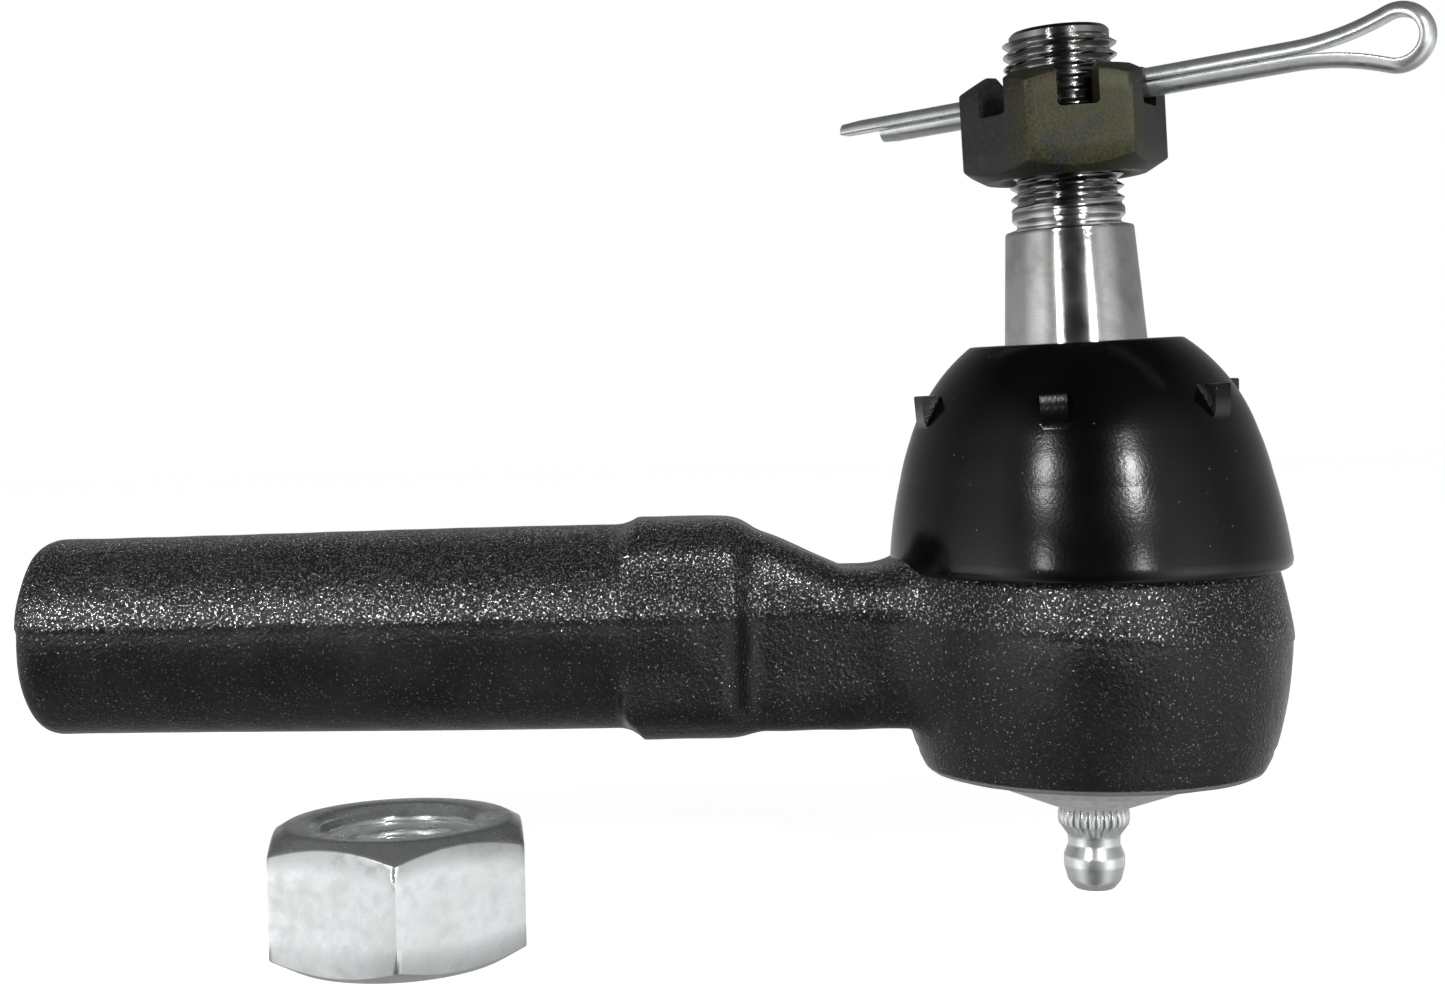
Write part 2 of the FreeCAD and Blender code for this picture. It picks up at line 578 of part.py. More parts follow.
def make_grease_fitting_spring():
    """Coil spring that holds the check ball down."""
    body = new_body("grease_fitting_spring")
    low = f"check_ball_radius + 3 * check_spring_wire - ({CHECK_BALL_DEPTH})"
    high = "0 - fitting_shoulder - 2 * check_spring_wire"
    wire = new_sketch(body, "wire", "XZ_Plane")
    ring(wire, ("check_spring_radius", low), "check_spring_wire")
    coil = add_feature(body, "AdditiveHelix", wire, "coil")
    coil.ReferenceAxis = (wire, ["V_Axis"])
    coil.Mode = "height-turns-growth"
    bind(coil, "Height", f"({high}) - ({low})")
    bind(coil, "Turns", "check_spring_turns")


# ---------------------------------------------------------------- dust boot

def make_dust_boot():
    """Umbrella boot: collar on the stud, domed skirt over the head and a ring of wedge tabs."""
    body = new_body("dust_boot")
    collar_foot = "boot_top - boot_collar_height"
    bore_low = f"taper_end_radius + (taper_top - ({collar_foot})) / (2 * taper_ratio) + boot_collar_gap"
    bore_high = "taper_end_radius + (taper_top - boot_top) / (2 * taper_ratio) + boot_collar_gap"
    turned(body, "shell", [
        (bore_low, collar_foot), (bore_high, "boot_top"), ("boot_top_radius", "boot_top"),
        ("boot_skirt_radius", "boot_skirt"), ("boot_lip_radius", "boot_lip"),
        ("boot_lip_radius - boot_wall", "boot_lip"), ("boot_skirt_radius - boot_wall", "boot_skirt"),
        (f"{bore_low} + boot_collar_wall", collar_foot),
    ], bends={
        2: ("boot_dome_arc", -1), 3: ("boot_skirt_arc", -1),
        5: ("boot_skirt_arc - boot_wall", 1), 6: ("boot_dome_arc", 1),
    })
    wedge = new_sketch(body, "tab_side", "XZ_Plane")
    outline(wedge, [
        ("boot_skirt_radius - boot_wall", "tab_foot"), ("boot_skirt_radius", "tab_foot"),
        ("tab_reach", "tab_top"), ("boot_top_radius + 2 * boot_wall", "tab_top"),
    ])
    tab = pushed(body, "tab", wedge, "tab_width", both_ways=True)
    repeated(body, "tabs", tab, "tab_count")
    quarter = Placement(Vector(0, 0, 0), Rotation(Vector(0, 0, 1), value_of("tab_turn") - 90))
    body.Placement = stud_frame().multiply(quarter)


# ---------------------------------------------------------------- nuts and cotter pin

def hexagon(body, flats, foot):
    """A hexagon with flats across Y, at the given height."""
    sketch = new_sketch(body, "hexagon", "XY_Plane", foot)
    side = f"{flats} / sqrt(3)"
    outline(sketch, [
        (side, "0"), (f"{side} / 2", f"{flats} / 2"), (f"0 - {side} / 2", f"{flats} / 2"),
        (f"0 - {side}", "0"), (f"0 - {side} / 2", f"0 - {flats} / 2"), (f"{side} / 2", f"0 - {flats} / 2"),
    ])
    return sketch


def hex_nut(label, flats, foot, height, face_radius, bore, thread_radius):
    """A hexagon nut chamfered at both ends, with a countersunk bore at the thread's minor radius."""
    body = new_body(label)
    pushed(body, "block", hexagon(body, flats, foot), height)
    top = f"({foot}) + {height}"
    rim = f"{flats} / sqrt(3) + cut_margin"
    drop = f"({rim} - {face_radius}) * tan(nut_chamfer)"
    high = f"{top} - {drop}"
    turned(body, "upper_chamfer", [(face_radius, top), (rim, top), (rim, high)], kind="Groove")
    low = f"({foot}) + {drop}"
    turned(body, "lower_chamfer", [(face_radius, foot), (rim, foot), (rim, low)], kind="Groove")
    mouth = f"{thread_radius} + countersink"
    depth = f"({mouth} - ({bore}))"
    turned(body, "bore", [
        ("0", foot), (mouth, foot), (bore, f"({foot}) + {depth}"), (bore, f"{top} - {depth}"),
        (mouth, top), ("0", top),
    ], kind="Groove")
    return body


def make_castle_nut():
    """Slotted nut on the stud's thread, with three cuts across it for the cotter pin."""
    body = hex_nut("castle_nut", "nut_flats", "nut_foot", "nut_height", "nut_face_radius",
                   "stud_thread_radius - stud_thread_depth", "stud_thread_radius")
    slot = new_sketch(body, "slot", "XZ_Plane")
    low = "nut_foot + nut_height - nut_slot_depth"
    high = "nut_foot + nut_height + cut_margin"
    half = "nut_slot_width / 2"
    outline(slot, [(half, low), (half, high), (f"0 - {half}", high), (f"0 - {half}", low)])
    cut = pushed(body, "slot_cut", slot, "2 * nut_flats", kind="Pocket", both_ways=True)
    repeated(body, "slots", cut, "nut_slots / 2")
    body.Placement = turned_on_stud("stud_turn")


def make_jam_nut():
    """Loose nut that locks the tie rod in the sleeve, standing level with the grease fitting's tip."""
    body = hex_nut("jam_nut", "jam_flats", "0 - fitting_tip_depth", "jam_height", "jam_face_radius",
                   "rod_thread_minor", "rod_thread_major")
    place = Vector(-value_of("jam_left"), -value_of("jam_front"), 0)
    body.Placement = Placement(place, Rotation(Vector(0, 0, 1), value_of("jam_turn")))


def make_cotter_pin():
    """Half-round wire bent back on itself: two straight legs and an eye."""
    body = new_body("cotter_pin")
    back = "sqrt((cotter_shoulder + cotter_eye_radius)^2 - (cotter_shoulder + cotter_slit)^2)"
    share = "cotter_eye_radius / (cotter_shoulder + cotter_eye_radius)"
    touch_x = f"cotter_eye_centre - ({back}) * {share}"
    touch_z = f"(cotter_shoulder + cotter_slit) * {share}"
    path = new_sketch(body, "path", "XZ_Plane")
    outline(path, [
        ("0 - cotter_long_leg", "cotter_slit"), (f"cotter_eye_centre - {back}", "cotter_slit"),
        (touch_x, touch_z), ("cotter_eye_centre + cotter_eye_radius", "0"), (touch_x, f"0 - {touch_z}"),
        (f"cotter_eye_centre - {back}", "0 - cotter_slit"), ("0 - cotter_short_leg", "0 - cotter_slit"),
    ], bends={
        1: ("cotter_shoulder", 1), 2: ("cotter_eye_radius", -1),
        3: ("cotter_eye_radius", -1), 4: ("cotter_shoulder", 1),
    }, closed=False)
    section = new_sketch(body, "section", "YZ_Plane", "0 - cotter_long_leg")
    outline(section, [
        ("cotter_radius", "cotter_slit"), ("0", "cotter_slit + cotter_radius"),
        ("0 - cotter_radius", "cotter_slit"),
    ], bends={0: ("cotter_radius", 1), 1: ("cotter_radius", 1)})
    wire = add_feature(body, "AdditivePipe", section, "wire")
    wire.Spine = (path, [])
    turn = Rotation(Vector(0, 0, 1), value_of("stud_turn") - 90)
    slope = Rotation(Vector(0, 1, 0), -value_of("cotter_tilt"))
    on_stud = Placement(Vector(0, 0, value_of(COTTER_HEIGHT)), turn.multiply(slope))
    body.Placement = stud_frame().multiply(on_stud)


# ---------------------------------------------------------------- build, check and write

def check_objects():
    """Stop if any object of the document failed."""
    for item in doc.Objects:
        if "Invalid" in item.State or "Error" in item.State:
            raise RuntimeError(f"{item.Name} failed: {item.State}")


def check_and_write(label):
    """Check one sub-part's shape and write it to parts/."""
    part = doc.getObjectsByLabel(label)[0]
    shape = part.Shape
    if shape.isNull() or not shape.isValid() or shape.Volume <= 0:
        raise RuntimeError(f"{label} has no valid shape")
    shape.exportStep(os.path.join("parts", f"{label}.step"))
    print(f"{label:24s} {shape.Volume:10.1f} mm3 {len(shape.Solids)} solid")


MAKERS = [
    make_housing, make_ball_stud, make_bearing_liner, make_upper_ball_seat, make_lower_ball_seat,
    make_preload_spring, make_end_cover, make_grease_fitting_body, make_grease_fitting_ball,
    make_grease_fitting_spring, make_dust_boot, make_castle_nut, make_cotter_pin, make_jam_nut,
]

fill_sheet()
for make in MAKERS:
    make()
doc.recompute()
check_objects()
os.makedirs("parts", exist_ok=True)
for make in MAKERS:
    check_and_write(make.__name__.replace("make_", ""))
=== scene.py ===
import json
import math

import bmesh
import bpy
import numpy as np
from mathutils import Matrix, Vector


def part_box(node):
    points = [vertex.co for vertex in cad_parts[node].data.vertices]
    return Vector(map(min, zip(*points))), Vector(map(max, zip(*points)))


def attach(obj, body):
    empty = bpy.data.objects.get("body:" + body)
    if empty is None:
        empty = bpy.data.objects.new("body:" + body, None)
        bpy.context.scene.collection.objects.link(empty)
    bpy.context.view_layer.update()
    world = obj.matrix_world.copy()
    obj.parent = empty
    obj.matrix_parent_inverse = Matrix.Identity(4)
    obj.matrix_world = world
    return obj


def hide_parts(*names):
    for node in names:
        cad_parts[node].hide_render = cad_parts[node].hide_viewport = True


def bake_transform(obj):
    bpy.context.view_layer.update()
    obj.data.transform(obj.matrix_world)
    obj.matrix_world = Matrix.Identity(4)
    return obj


# The looks of an outer tie rod end: forged housing, ball stud, boot, slotted nut, cotter pin and jam nut.
# Blender's units are metres; the shapes below are worked out in millimetres and scaled by MM.
# The origin is the ball's centre, the sleeve runs along -X and the stud points up.

MM = 0.001
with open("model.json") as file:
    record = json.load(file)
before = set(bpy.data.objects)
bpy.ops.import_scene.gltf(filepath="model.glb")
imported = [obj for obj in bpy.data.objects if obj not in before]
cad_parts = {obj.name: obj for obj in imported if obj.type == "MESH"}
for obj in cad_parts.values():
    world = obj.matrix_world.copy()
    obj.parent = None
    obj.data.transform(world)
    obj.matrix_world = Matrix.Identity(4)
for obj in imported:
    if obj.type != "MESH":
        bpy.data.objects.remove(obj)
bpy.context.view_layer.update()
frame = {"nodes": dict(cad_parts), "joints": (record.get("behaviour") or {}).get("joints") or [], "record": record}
JOINTS = {joint["name"]: joint for joint in frame["joints"]}
FINE = 2


# ---------------------------------------------------------------- places taken from the frame

def box_mm(node):
    """Lowest and highest corner of a CAD node, in millimetres."""
    low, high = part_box(node)
    return low / MM, high / MM


def axis_of(joint):
    """The joint's axis as a unit vector."""
    return Vector(JOINTS[joint]["axis"]).normalized()


def stud_turn():
    """Turn of the cotter hole about the stud, from the stud frame's X axis."""
    across = axis_of("stud_tilt_rod").cross(axis_of("stud_spin"))
    along = axis_of("cotter_slide")
    return math.atan2(along.dot(axis_of("stud_tilt_rod")), along.dot(across))


def frame_matrix(x_axis, y_axis, z_axis, origin=(0, 0, 0)):
    """The matrix that takes local points to the row frame."""
    turn = Matrix((x_axis, y_axis, z_axis)).transposed().to_4x4()
    return Matrix.Translation(Vector(origin)) @ turn


UP = axis_of("stud_spin")
SIDE = axis_of("stud_tilt_rod")
STUD_FRAME = frame_matrix(SIDE.cross(UP), SIDE, UP)
COTTER_TURN = stud_turn()

# Details in millimetres; heights run along the stud from the ball's centre.
BALL_RADIUS, BALL_FOOT = 12.5, 11.3
NECK_RADIUS, NECK_TOP = 6.0, 12.4
TAPER_FOOT, TAPER_RADIUS, TAPER_LENGTH_PER_RADIUS = 19.0, 8.225, 16
STUD_THREAD = {"start": 43.0, "top": 62.0, "radius": 6.0, "pitch": 1.25}
COTTER_HEIGHT, COTTER_HOLE = 55.95, 1.95
CASTLE_NUT = {"foot": 47.4, "height": 10.9, "flats": 19.0, "face": 8.5, "bore": 6.02}
ROD_THREAD = {"minor": 7.25, "major": 8.0, "pitch": 1.5}
JAM_NUT = {"flats": 24.0, "face": 11.0, "turn": 68.7}
CRISP = 38  # edges sharper than this many degrees stay crisp


# ---------------------------------------------------------------- mesh helpers

def finished(name, mesh, material, body=None, nodes=(), angle=CRISP):
    """Turn a mesh into a piece: smooth with crisp edges, with its material, body and CAD node."""
    mesh.shade_smooth()
    mesh.set_sharp_from_angle(angle=math.radians(angle))
    piece = bpy.data.objects.new(name, mesh)
    bpy.context.scene.collection.objects.link(piece)
    mesh.materials.append(material)
    if body:
        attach(piece, body)
    if nodes:
        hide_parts(*nodes)
    return piece


def mesh_from(name, points, faces, matrix=None):
    """A mesh from points in millimetres and faces: unused points dropped, normals turned outwards."""
    mesh = bpy.data.meshes.new(name)
    mesh.from_pydata((np.asarray(points, float) * MM).tolist(), [], faces)
    if matrix is not None:
        mesh.transform(matrix)
    work = bmesh.new()
    work.from_mesh(mesh)
    bmesh.ops.delete(work, geom=[v for v in work.verts if not v.link_faces], context="VERTS")
    bmesh.ops.recalc_face_normals(work, faces=work.faces)
    work.to_mesh(mesh)
    work.free()
    return mesh


def bar(outline, half):
    """Points and faces of a straight bar along Y with an (X, Z) outline, reaching half to each side."""
    count = len(outline)
    points = [(x, side * half, z) for side in (-1, 1) for x, z in outline]
    faces = [list(range(count))[::-1], list(range(count, 2 * count))]
    faces += [[i, (i + 1) % count, (i + 1) % count + count, i + count] for i in range(count)]
    return points, faces


def rounded_outline(corners, steps=5):
    """Points of an outline in the half plane: each corner is (radius, height, rounding)."""
    points = []
    for before, here, after in zip([corners[-1]] + corners[:-1], corners, corners[1:] + corners[:1]):
        corner = np.array(here[:2], float)
        if here[2] == 0:
            points.append(corner)
            continue
        inward = np.array(before[:2], float) - corner
        onward = np.array(after[:2], float) - corner
        inward_length, onward_length = np.linalg.norm(inward), np.linalg.norm(onward)
        inward, onward = inward / inward_length, onward / onward_length
        half = math.acos(np.clip(inward @ onward, -1, 1)) / 2
        reach = min(here[2] / math.tan(half), 0.49 * inward_length, 0.49 * onward_length)
        middle = (inward + onward) / np.linalg.norm(inward + onward)
        centre = corner + middle * reach / math.cos(half)
        radius = reach * math.tan(half)
        start, end = corner + inward * reach - centre, corner + onward * reach - centre
        for share in np.linspace(0, 1, steps):
            spoke = start * (1 - share) + end * share
            points.append(centre + spoke / np.linalg.norm(spoke) * radius)
    return np.array(points)


def arc_outline(start, end, radius, side, steps):
    """Points after start up to end along an arc; side 1 has its centre to the left of the way."""
    start, end = np.array(start, float), np.array(end, float)
    along = end - start
    half = np.linalg.norm(along) / 2
    across = np.array([-along[1], along[0]]) / (2 * half)
    centre = (start + end) / 2 + across * side * math.sqrt(radius * radius - half * half)
    first = math.atan2(*(start - centre)[::-1])
    turn = math.atan2(*(end - centre)[::-1]) - first
    turn = (turn + math.pi) % (2 * math.pi) - math.pi
    angles = first + turn * np.linspace(0, 1, steps + 1)[1:]
    return [centre + radius * np.array([math.cos(a), math.sin(a)]) for a in angles]


def ring_mesh(name, radii, heights, matrix=None):
    """A closed surface round Z: row i, column j has its radius and height, and the last row joins the
    first. Where both have radius 0, they are poles instead."""
    rows, columns = radii.shape
    turn = np.linspace(0, 2 * math.pi, columns, endpoint=False)
    points = np.stack([radii * np.cos(turn), radii * np.sin(turn), heights], axis=-1).reshape(-1, 3)
    poles = radii[0].max() < 1e-6 and radii[-1].max() < 1e-6
    row_pairs = [(i, i + 1) for i in range(rows - 1)] + ([] if poles else [(rows - 1, 0)])
    faces = []
    for upper, lower in row_pairs:
        for j in range(columns):
            following = (j + 1) % columns
            quad = [upper * columns + j, upper * columns + following,
                    lower * columns + following, lower * columns + j]
            if poles and upper == 0:
                quad = [0, quad[2], quad[3]]
            if poles and lower == rows - 1:
                quad = [quad[0], quad[1], (rows - 1) * columns]
            faces.append(quad)
    if poles:
        faces = [[f if f >= columns else 0 for f in face] for face in faces]
    return mesh_from(name, points, faces, matrix)


def lathe(name, outline, columns, matrix=None):
    """A surface of revolution round Z from outline points (radius, height)."""
    radii = np.repeat(outline[:, :1], columns, axis=1)
    heights = np.repeat(outline[:, 1:], columns, axis=1)
    return ring_mesh(name, radii, heights, matrix)


def thread_depth(phase, depth):
    """How far a 60 degree thread lies below its crest, for a phase of 0 to 1 with the crest at 0."""
    crest_end, root_start = 0.12, 0.86
    from_crest = np.abs((phase + 0.5) % 1 - 0.5) * 2
    return depth * np.clip((from_crest - crest_end) / (root_start - crest_end), 0, 1)


def smoothstep(value, low, high):
    """0 below low, 1 above high, smooth between."""
    share = np.clip((value - low) / (high - low), 0, 1)
    return share * share * (3 - 2 * share)


def combine(piece, mesh, operation):
    """Add a closed mesh to a piece (UNION) or cut it away (DIFFERENCE)."""
    tool = bpy.data.objects.new("tool", mesh)
    bpy.context.scene.collection.objects.link(tool)
    modifier = piece.modifiers.new("combine", "BOOLEAN")
    modifier.operation = operation
    modifier.solver = "EXACT"
    modifier.object = tool
    graph = bpy.context.evaluated_depsgraph_get()
    graph.update()
    done = bpy.data.meshes.new_from_object(piece.evaluated_get(graph))
    piece.modifiers.clear()
    old = piece.data
    piece.data = done
    bpy.data.meshes.remove(old)
    bpy.data.objects.remove(tool)


# ---------------------------------------------------------------- materials

def add_node(tree, kind, inputs=None, **settings):
    """A new node; inputs maps a socket to a value or to another node's output."""
    node = tree.nodes.new(kind)
    for key, value in settings.items():
        setattr(node, key, value)
    for socket, value in (inputs or {}).items():
        if isinstance(value, bpy.types.NodeSocket):
            tree.links.new(value, node.inputs[socket])
        else:
            node.inputs[socket].default_value = value
    return node


class Look:
    """A Principled material and short ways to add nodes to it."""

    def __init__(self, name, **sockets):
        self.material = bpy.data.materials.new(name)
        self.material.use_nodes = True
        self.tree = self.material.node_tree
        self.shader = self.tree.nodes["Principled BSDF"]
        self.place = self.add("ShaderNodeTexCoord").outputs["Object"]
        for socket, value in sockets.items():
            self.shader.inputs[socket.replace("_", " ")].default_value = value

    def add(self, kind, inputs=None, **settings):
        """A new node of this material."""
        return add_node(self.tree, kind, inputs, **settings)

    def drive(self, socket, output):
        """Link an output to one of the shader's sockets."""
        self.tree.links.new(output, self.shader.inputs[socket])

    def noise(self, size, detail=2.0, roughness=0.5, stretch=(1, 1, 1)):
        """Noise from 0 to 1 whose features are about size millimetres, stretched along X, Y or Z."""
        scaled = self.add("ShaderNodeMapping", {"Vector": self.place, "Scale": [1 / s for s in stretch]})
        return self.add("ShaderNodeTexNoise", {
            "Vector": scaled.outputs[0], "Scale": 1 / (size * MM), "Detail": detail, "Roughness": roughness,
        }).outputs["Fac"]

    def cells(self, size):
        """Distance to the nearest of random points about size millimetres apart."""
        return self.add("ShaderNodeTexVoronoi", {
            "Vector": self.place, "Scale": 1 / (size * MM)}).outputs["Distance"]

    def span(self, value, low, high, to_low=0.0, to_high=1.0):
        """Map low..high to to_low..to_high, held at both ends."""
        return self.add("ShaderNodeMapRange", {
            "Value": value, "From Min": low, "From Max": high, "To Min": to_low, "To Max": to_high,
        }).outputs["Result"]

    def compute(self, kind, first, second):
        """A Math node with two values."""
        return self.add("ShaderNodeMath", {0: first, 1: second}, operation=kind).outputs[0]

    def blend(self, share, first, second):
        """Mix two colours; a share of 0 gives the first."""
        return self.add("ShaderNodeMix", {0: share, 6: first, 7: second}, data_type="RGBA").outputs[2]

    def bump(self, height, depth, strength=1.0, under=None):
        """Bump of depth millimetres; under is another bump that lies below it."""
        inputs = {"Height": height, "Distance": depth * MM, "Strength": strength}
        if under is not None:
            inputs["Normal"] = under
        return self.add("ShaderNodeBump", inputs).outputs[0]

    def away_from(self, point):
        """Distance in millimetres from a point given in millimetres."""
        metres = [c * MM for c in point]
        distance = self.add("ShaderNodeVectorMath", {0: self.place, 1: metres}, operation="DISTANCE")
        return self.compute("MULTIPLY", distance.outputs["Value"], 1 / MM)

    def along(self, axis):
        """An object coordinate in millimetres."""
        parts = self.add("ShaderNodeSeparateXYZ", {0: self.place})
        return self.compute("MULTIPLY", parts.outputs[axis], 1 / MM)


def grey(value, tint=(1, 1, 1)):
    """A colour of one brightness with an optional tint."""
    return (value * tint[0], value * tint[1], value * tint[2], 1)


def forging_look():
    """Black paint over a shot-blasted grain with bright metallic specks, partly bare points and partly
    painted glints; above the parting line they are denser, a painted highlight where light falls from above.
    The crimped lip's foot is half bare."""
    look = Look("forging_paint", Roughness=0.3, IOR=1.32)
    patch = look.noise(9.0, 3.0)
    pits = look.noise(0.42, 2.0, 0.6)
    parting = look.span(look.along("X"), BLOCK[1], PARTING_END, PARTING, PARTING - PARTING_DROP)
    # Above the parting line the bright specks are denser: painted glints, a highlight band where light falls from
    # above, stronger towards the sleeve end.
    above = look.span(look.compute("SUBTRACT", look.along("Z"), parting), -0.25, 0.35)
    painted_glint_boost = look.span(look.along("X"), -45.0, -5.0, 0.095, 0.058)
    speck_threshold = look.compute("SUBTRACT", 0.675, look.compute("MULTIPLY", above, painted_glint_boost))
    grain = look.noise(0.23, 2.0, 0.6)
    # Each bright metallic speck is partly a bare point of the grain and partly a painted glint.
    point = look.span(look.compute("SUBTRACT", grain, speck_threshold), -0.015, 0.03)
    lip = look.span(look.along("Z"), -15.6, -15.75, 0.0, 0.6)
    paint = look.blend(look.span(patch, 0.35, 0.7), grey(0.012), grey(0.02))
    paint = look.blend(point, paint, grey(0.5))
    look.drive("Base Color", look.blend(lip, paint, grey(0.6)))
    look.drive("Metallic", look.compute("MAXIMUM", look.compute("MULTIPLY", point, 0.85), lip))
    look.drive("Roughness", look.span(patch, 0.3, 0.7, 0.2, 0.28))
    broad = look.bump(look.noise(2.4, 3.0), 0.10)
    look.drive("Normal", look.bump(pits, 0.14, under=broad))
    return look.material


def rubber_look():
    """Semi-gloss black rubber with a faint grain and a few specks of dust."""
    look = Look("boot_rubber", Roughness=0.3, IOR=1.45)
    patch = look.noise(7.0, 3.0)
    dust = look.span(look.cells(2.1), 0.0, 0.055, 1.0, 0.0)
    look.drive("Base Color", look.blend(dust, grey(0.003), grey(0.25)))
    look.drive("Roughness", look.span(patch, 0.3, 0.7, 0.16, 0.23))
    look.drive("Normal", look.bump(look.noise(0.35, 2.0), 0.012))
    return look.material


def polished_steel_look():
    """Ground and polished steel with fine marks round the stud."""
    look = Look("stud_steel", Metallic=1.0, Roughness=0.12)
    marks = look.noise(1.5, 3.0, stretch=(1, 1, 0.03))
    stain = look.noise(3.0, 4.0)
    bare = look.blend(look.span(stain, 0.45, 0.75), grey(0.62), grey(0.42, (1, 0.98, 0.94)))
    threaded = look.span(look.along("Z"), 42.5, 43.5, 0.0, 0.55)
    look.drive("Base Color", look.blend(threaded, bare, grey(0.12)))
    look.drive("Roughness", look.span(stain, 0.35, 0.75, 0.12, 0.24))
    look.drive("Normal", look.bump(marks, 0.006))
    return look.material


def phosphate_look():
    """Dark phosphated steel, oily, with rusty blotches; its front face is olive and lighter, partly an olive tint
    and partly a painted sheen.
    """
    look = Look("nut_phosphate", Roughness=0.5, Metallic=0.35)
    middle_of_front = (-3.0, -12.4, 52.0)
    # Round the middle of the front face the colour is tinted olive and lighter: partly an olive tint, partly a
    # painted sheen on that one face.
    front = look.span(look.away_from(middle_of_front), 5.5, 8.5, 1.0, 0.0)
    olive_sheen = look.compute("MULTIPLY", front, look.span(look.noise(5.0, 2.0), 0.28, 0.42))
    speckle = look.span(look.noise(0.28, 2.0), 0.38, 0.68)
    rust = look.compute("MULTIPLY", look.span(look.noise(2.4, 2.0), 0.60, 0.66), 0.7)
    base = look.blend(speckle, grey(0.024), grey(0.05, (1.0, 0.99, 0.94)))
    olive_sheen_colour = look.blend(speckle, grey(0.034, (1, 0.98, 0.42)), grey(0.075, (1, 1.0, 0.42)))
    base = look.blend(rust, look.blend(olive_sheen, base, olive_sheen_colour), grey(0.075, (1.0, 0.6, 0.5)))
    look.drive("Base Color", base)
    look.drive("Roughness", look.span(speckle, 0, 1, 0.4, 0.55))
    look.drive("Normal", look.bump(look.noise(0.3, 2.0), 0.02))
    return look.material


def zinc_look():
    """Bright zinc plate with a faint mottle."""
    look = Look("zinc_plate", Metallic=0.8, Roughness=0.3)
    mottle = look.noise(1.2, 4.0)
    tint = look.span(look.noise(5.0, 2.0), 0.45, 0.65)
    base = look.blend(tint, grey(0.88, (0.98, 1.0, 1.01)), grey(0.8, (0.94, 1.0, 0.98)))
    look.drive("Base Color", look.blend(look.span(mottle, 0.5, 0.8), base, grey(0.78, (0.95, 1, 1))))
    look.drive("Roughness", look.span(mottle, 0.3, 0.7, 0.22, 0.38))
    look.drive("Normal", look.bump(look.noise(0.45, 2.0), 0.006))
    return look.material


def pressed_steel_look():
    """Plain pressed steel, dull, with faint drawing marks."""
    look = Look("plain_steel", Metallic=0.6, Roughness=0.42)
    mottle = look.noise(0.9, 4.0)
    dull = grey(0.75, (1, 0.99, 0.96))
    look.drive("Base Color", look.blend(look.span(mottle, 0.4, 0.7), grey(0.92), dull))
    look.drive("Roughness", look.span(mottle, 0.3, 0.7, 0.36, 0.52))
    look.drive("Normal", look.bump(look.noise(0.3, 2.0), 0.01))
    return look.material


def spring_steel_look():
    """Oiled dark spring steel."""
    look = Look("spring_steel", Metallic=1.0, Roughness=0.35)
    mottle = look.noise(0.8, 3.0)
    look.drive("Base Color", look.blend(mottle, grey(0.2), grey(0.34, (1, 0.98, 0.95))))
    look.drive("Normal", look.bump(look.noise(0.2, 2.0), 0.004))
    return look.material


def polymer_look():
    """Natural acetal, slightly see-through."""
    look = Look("liner_polymer", Roughness=0.4)
    mottle = look.noise(1.5, 3.0)
    look.drive("Base Color", look.blend(mottle, grey(0.78, (1, 0.98, 0.92)), grey(0.7, (1, 0.97, 0.88))))
    look.drive("Normal", look.bump(look.noise(0.4, 2.0), 0.005))
    return look.material


# ---------------------------------------------------------------- the forging

def smooth_min(a, b, reach):
    """The smaller of two distances, rounded over reach where they are close."""
    share = np.maximum(reach - np.abs(a - b), 0) / reach
    return np.minimum(a, b) - share * share * reach / 4


def smooth_max(a, b, reach):
    """The larger of two distances, rounded over reach."""
    return -smooth_min(-a, -b, reach)


def below_line(across, up, start, end):
    """Signed distance to the line through two points; negative to the right of the way."""
    run, rise = end[0] - start[0], end[1] - start[1]
    length = math.hypot(run, rise)
    return ((up - start[1]) * run - (across - start[0]) * rise) / length


SLEEVE_LEFT = box_mm("housing")[0].x
ROD_FOOT = SLEEVE_LEFT + 58.0
BLOCK = (-51.2, -38.4)
BLOCK_FLAT, BLOCK_TOP, BLOCK_FOOT = 11.2, 11.05, -11.15
ARM_SIDE, ARM_HIGH, ARM_LOW, ARM_FOOT = 8.8, 10.9, 6.1, -11.2
PARTING, PARTING_DROP, PARTING_END = 1.6, 4.2, 36.0
OVERLAP = 3.0  # how far the sleeve and the arm run into the block


def parting_height(x):
    """Height of the forging's parting line, which drops from the sleeve to the head."""
    return PARTING - PARTING_DROP * smoothstep(x, BLOCK[1], PARTING_END)


def sleeve(x, y, z):
    """The sleeve: slightly lens-shaped about the parting plane, with a rounded open end."""
    radius = 11.1 - 0.5 * smoothstep(-x, 55, -SLEEVE_LEFT)
    lens = 0.3
    round_part = np.maximum(np.hypot(y, z - lens), np.hypot(y, z + lens)) - (radius + lens)
    end = np.maximum(SLEEVE_LEFT - x, x - BLOCK[1] + OVERLAP)
    return smooth_max(round_part, end, 2.4)


def wrench_block(x, y, z):
    """The block: two flats, sloping corners above and below, softened edges."""
    side = np.abs(y)
    high_corner = -below_line(side, z, (BLOCK_FLAT, 8.6), (7.2, BLOCK_TOP))
    low_corner = -below_line(side, z, (5.2, BLOCK_FOOT), (BLOCK_FLAT, -8.9))
    section = smooth_max(side - BLOCK_FLAT, z - BLOCK_TOP, 0.8)
    section = smooth_max(section, BLOCK_FOOT - z, 0.8)
    section = smooth_max(section, high_corner, 1.6)
    section = smooth_max(section, low_corner, 1.6)
    ends = np.maximum(BLOCK[0] - x, x - BLOCK[1])
    return smooth_max(section, ends, 2.2)


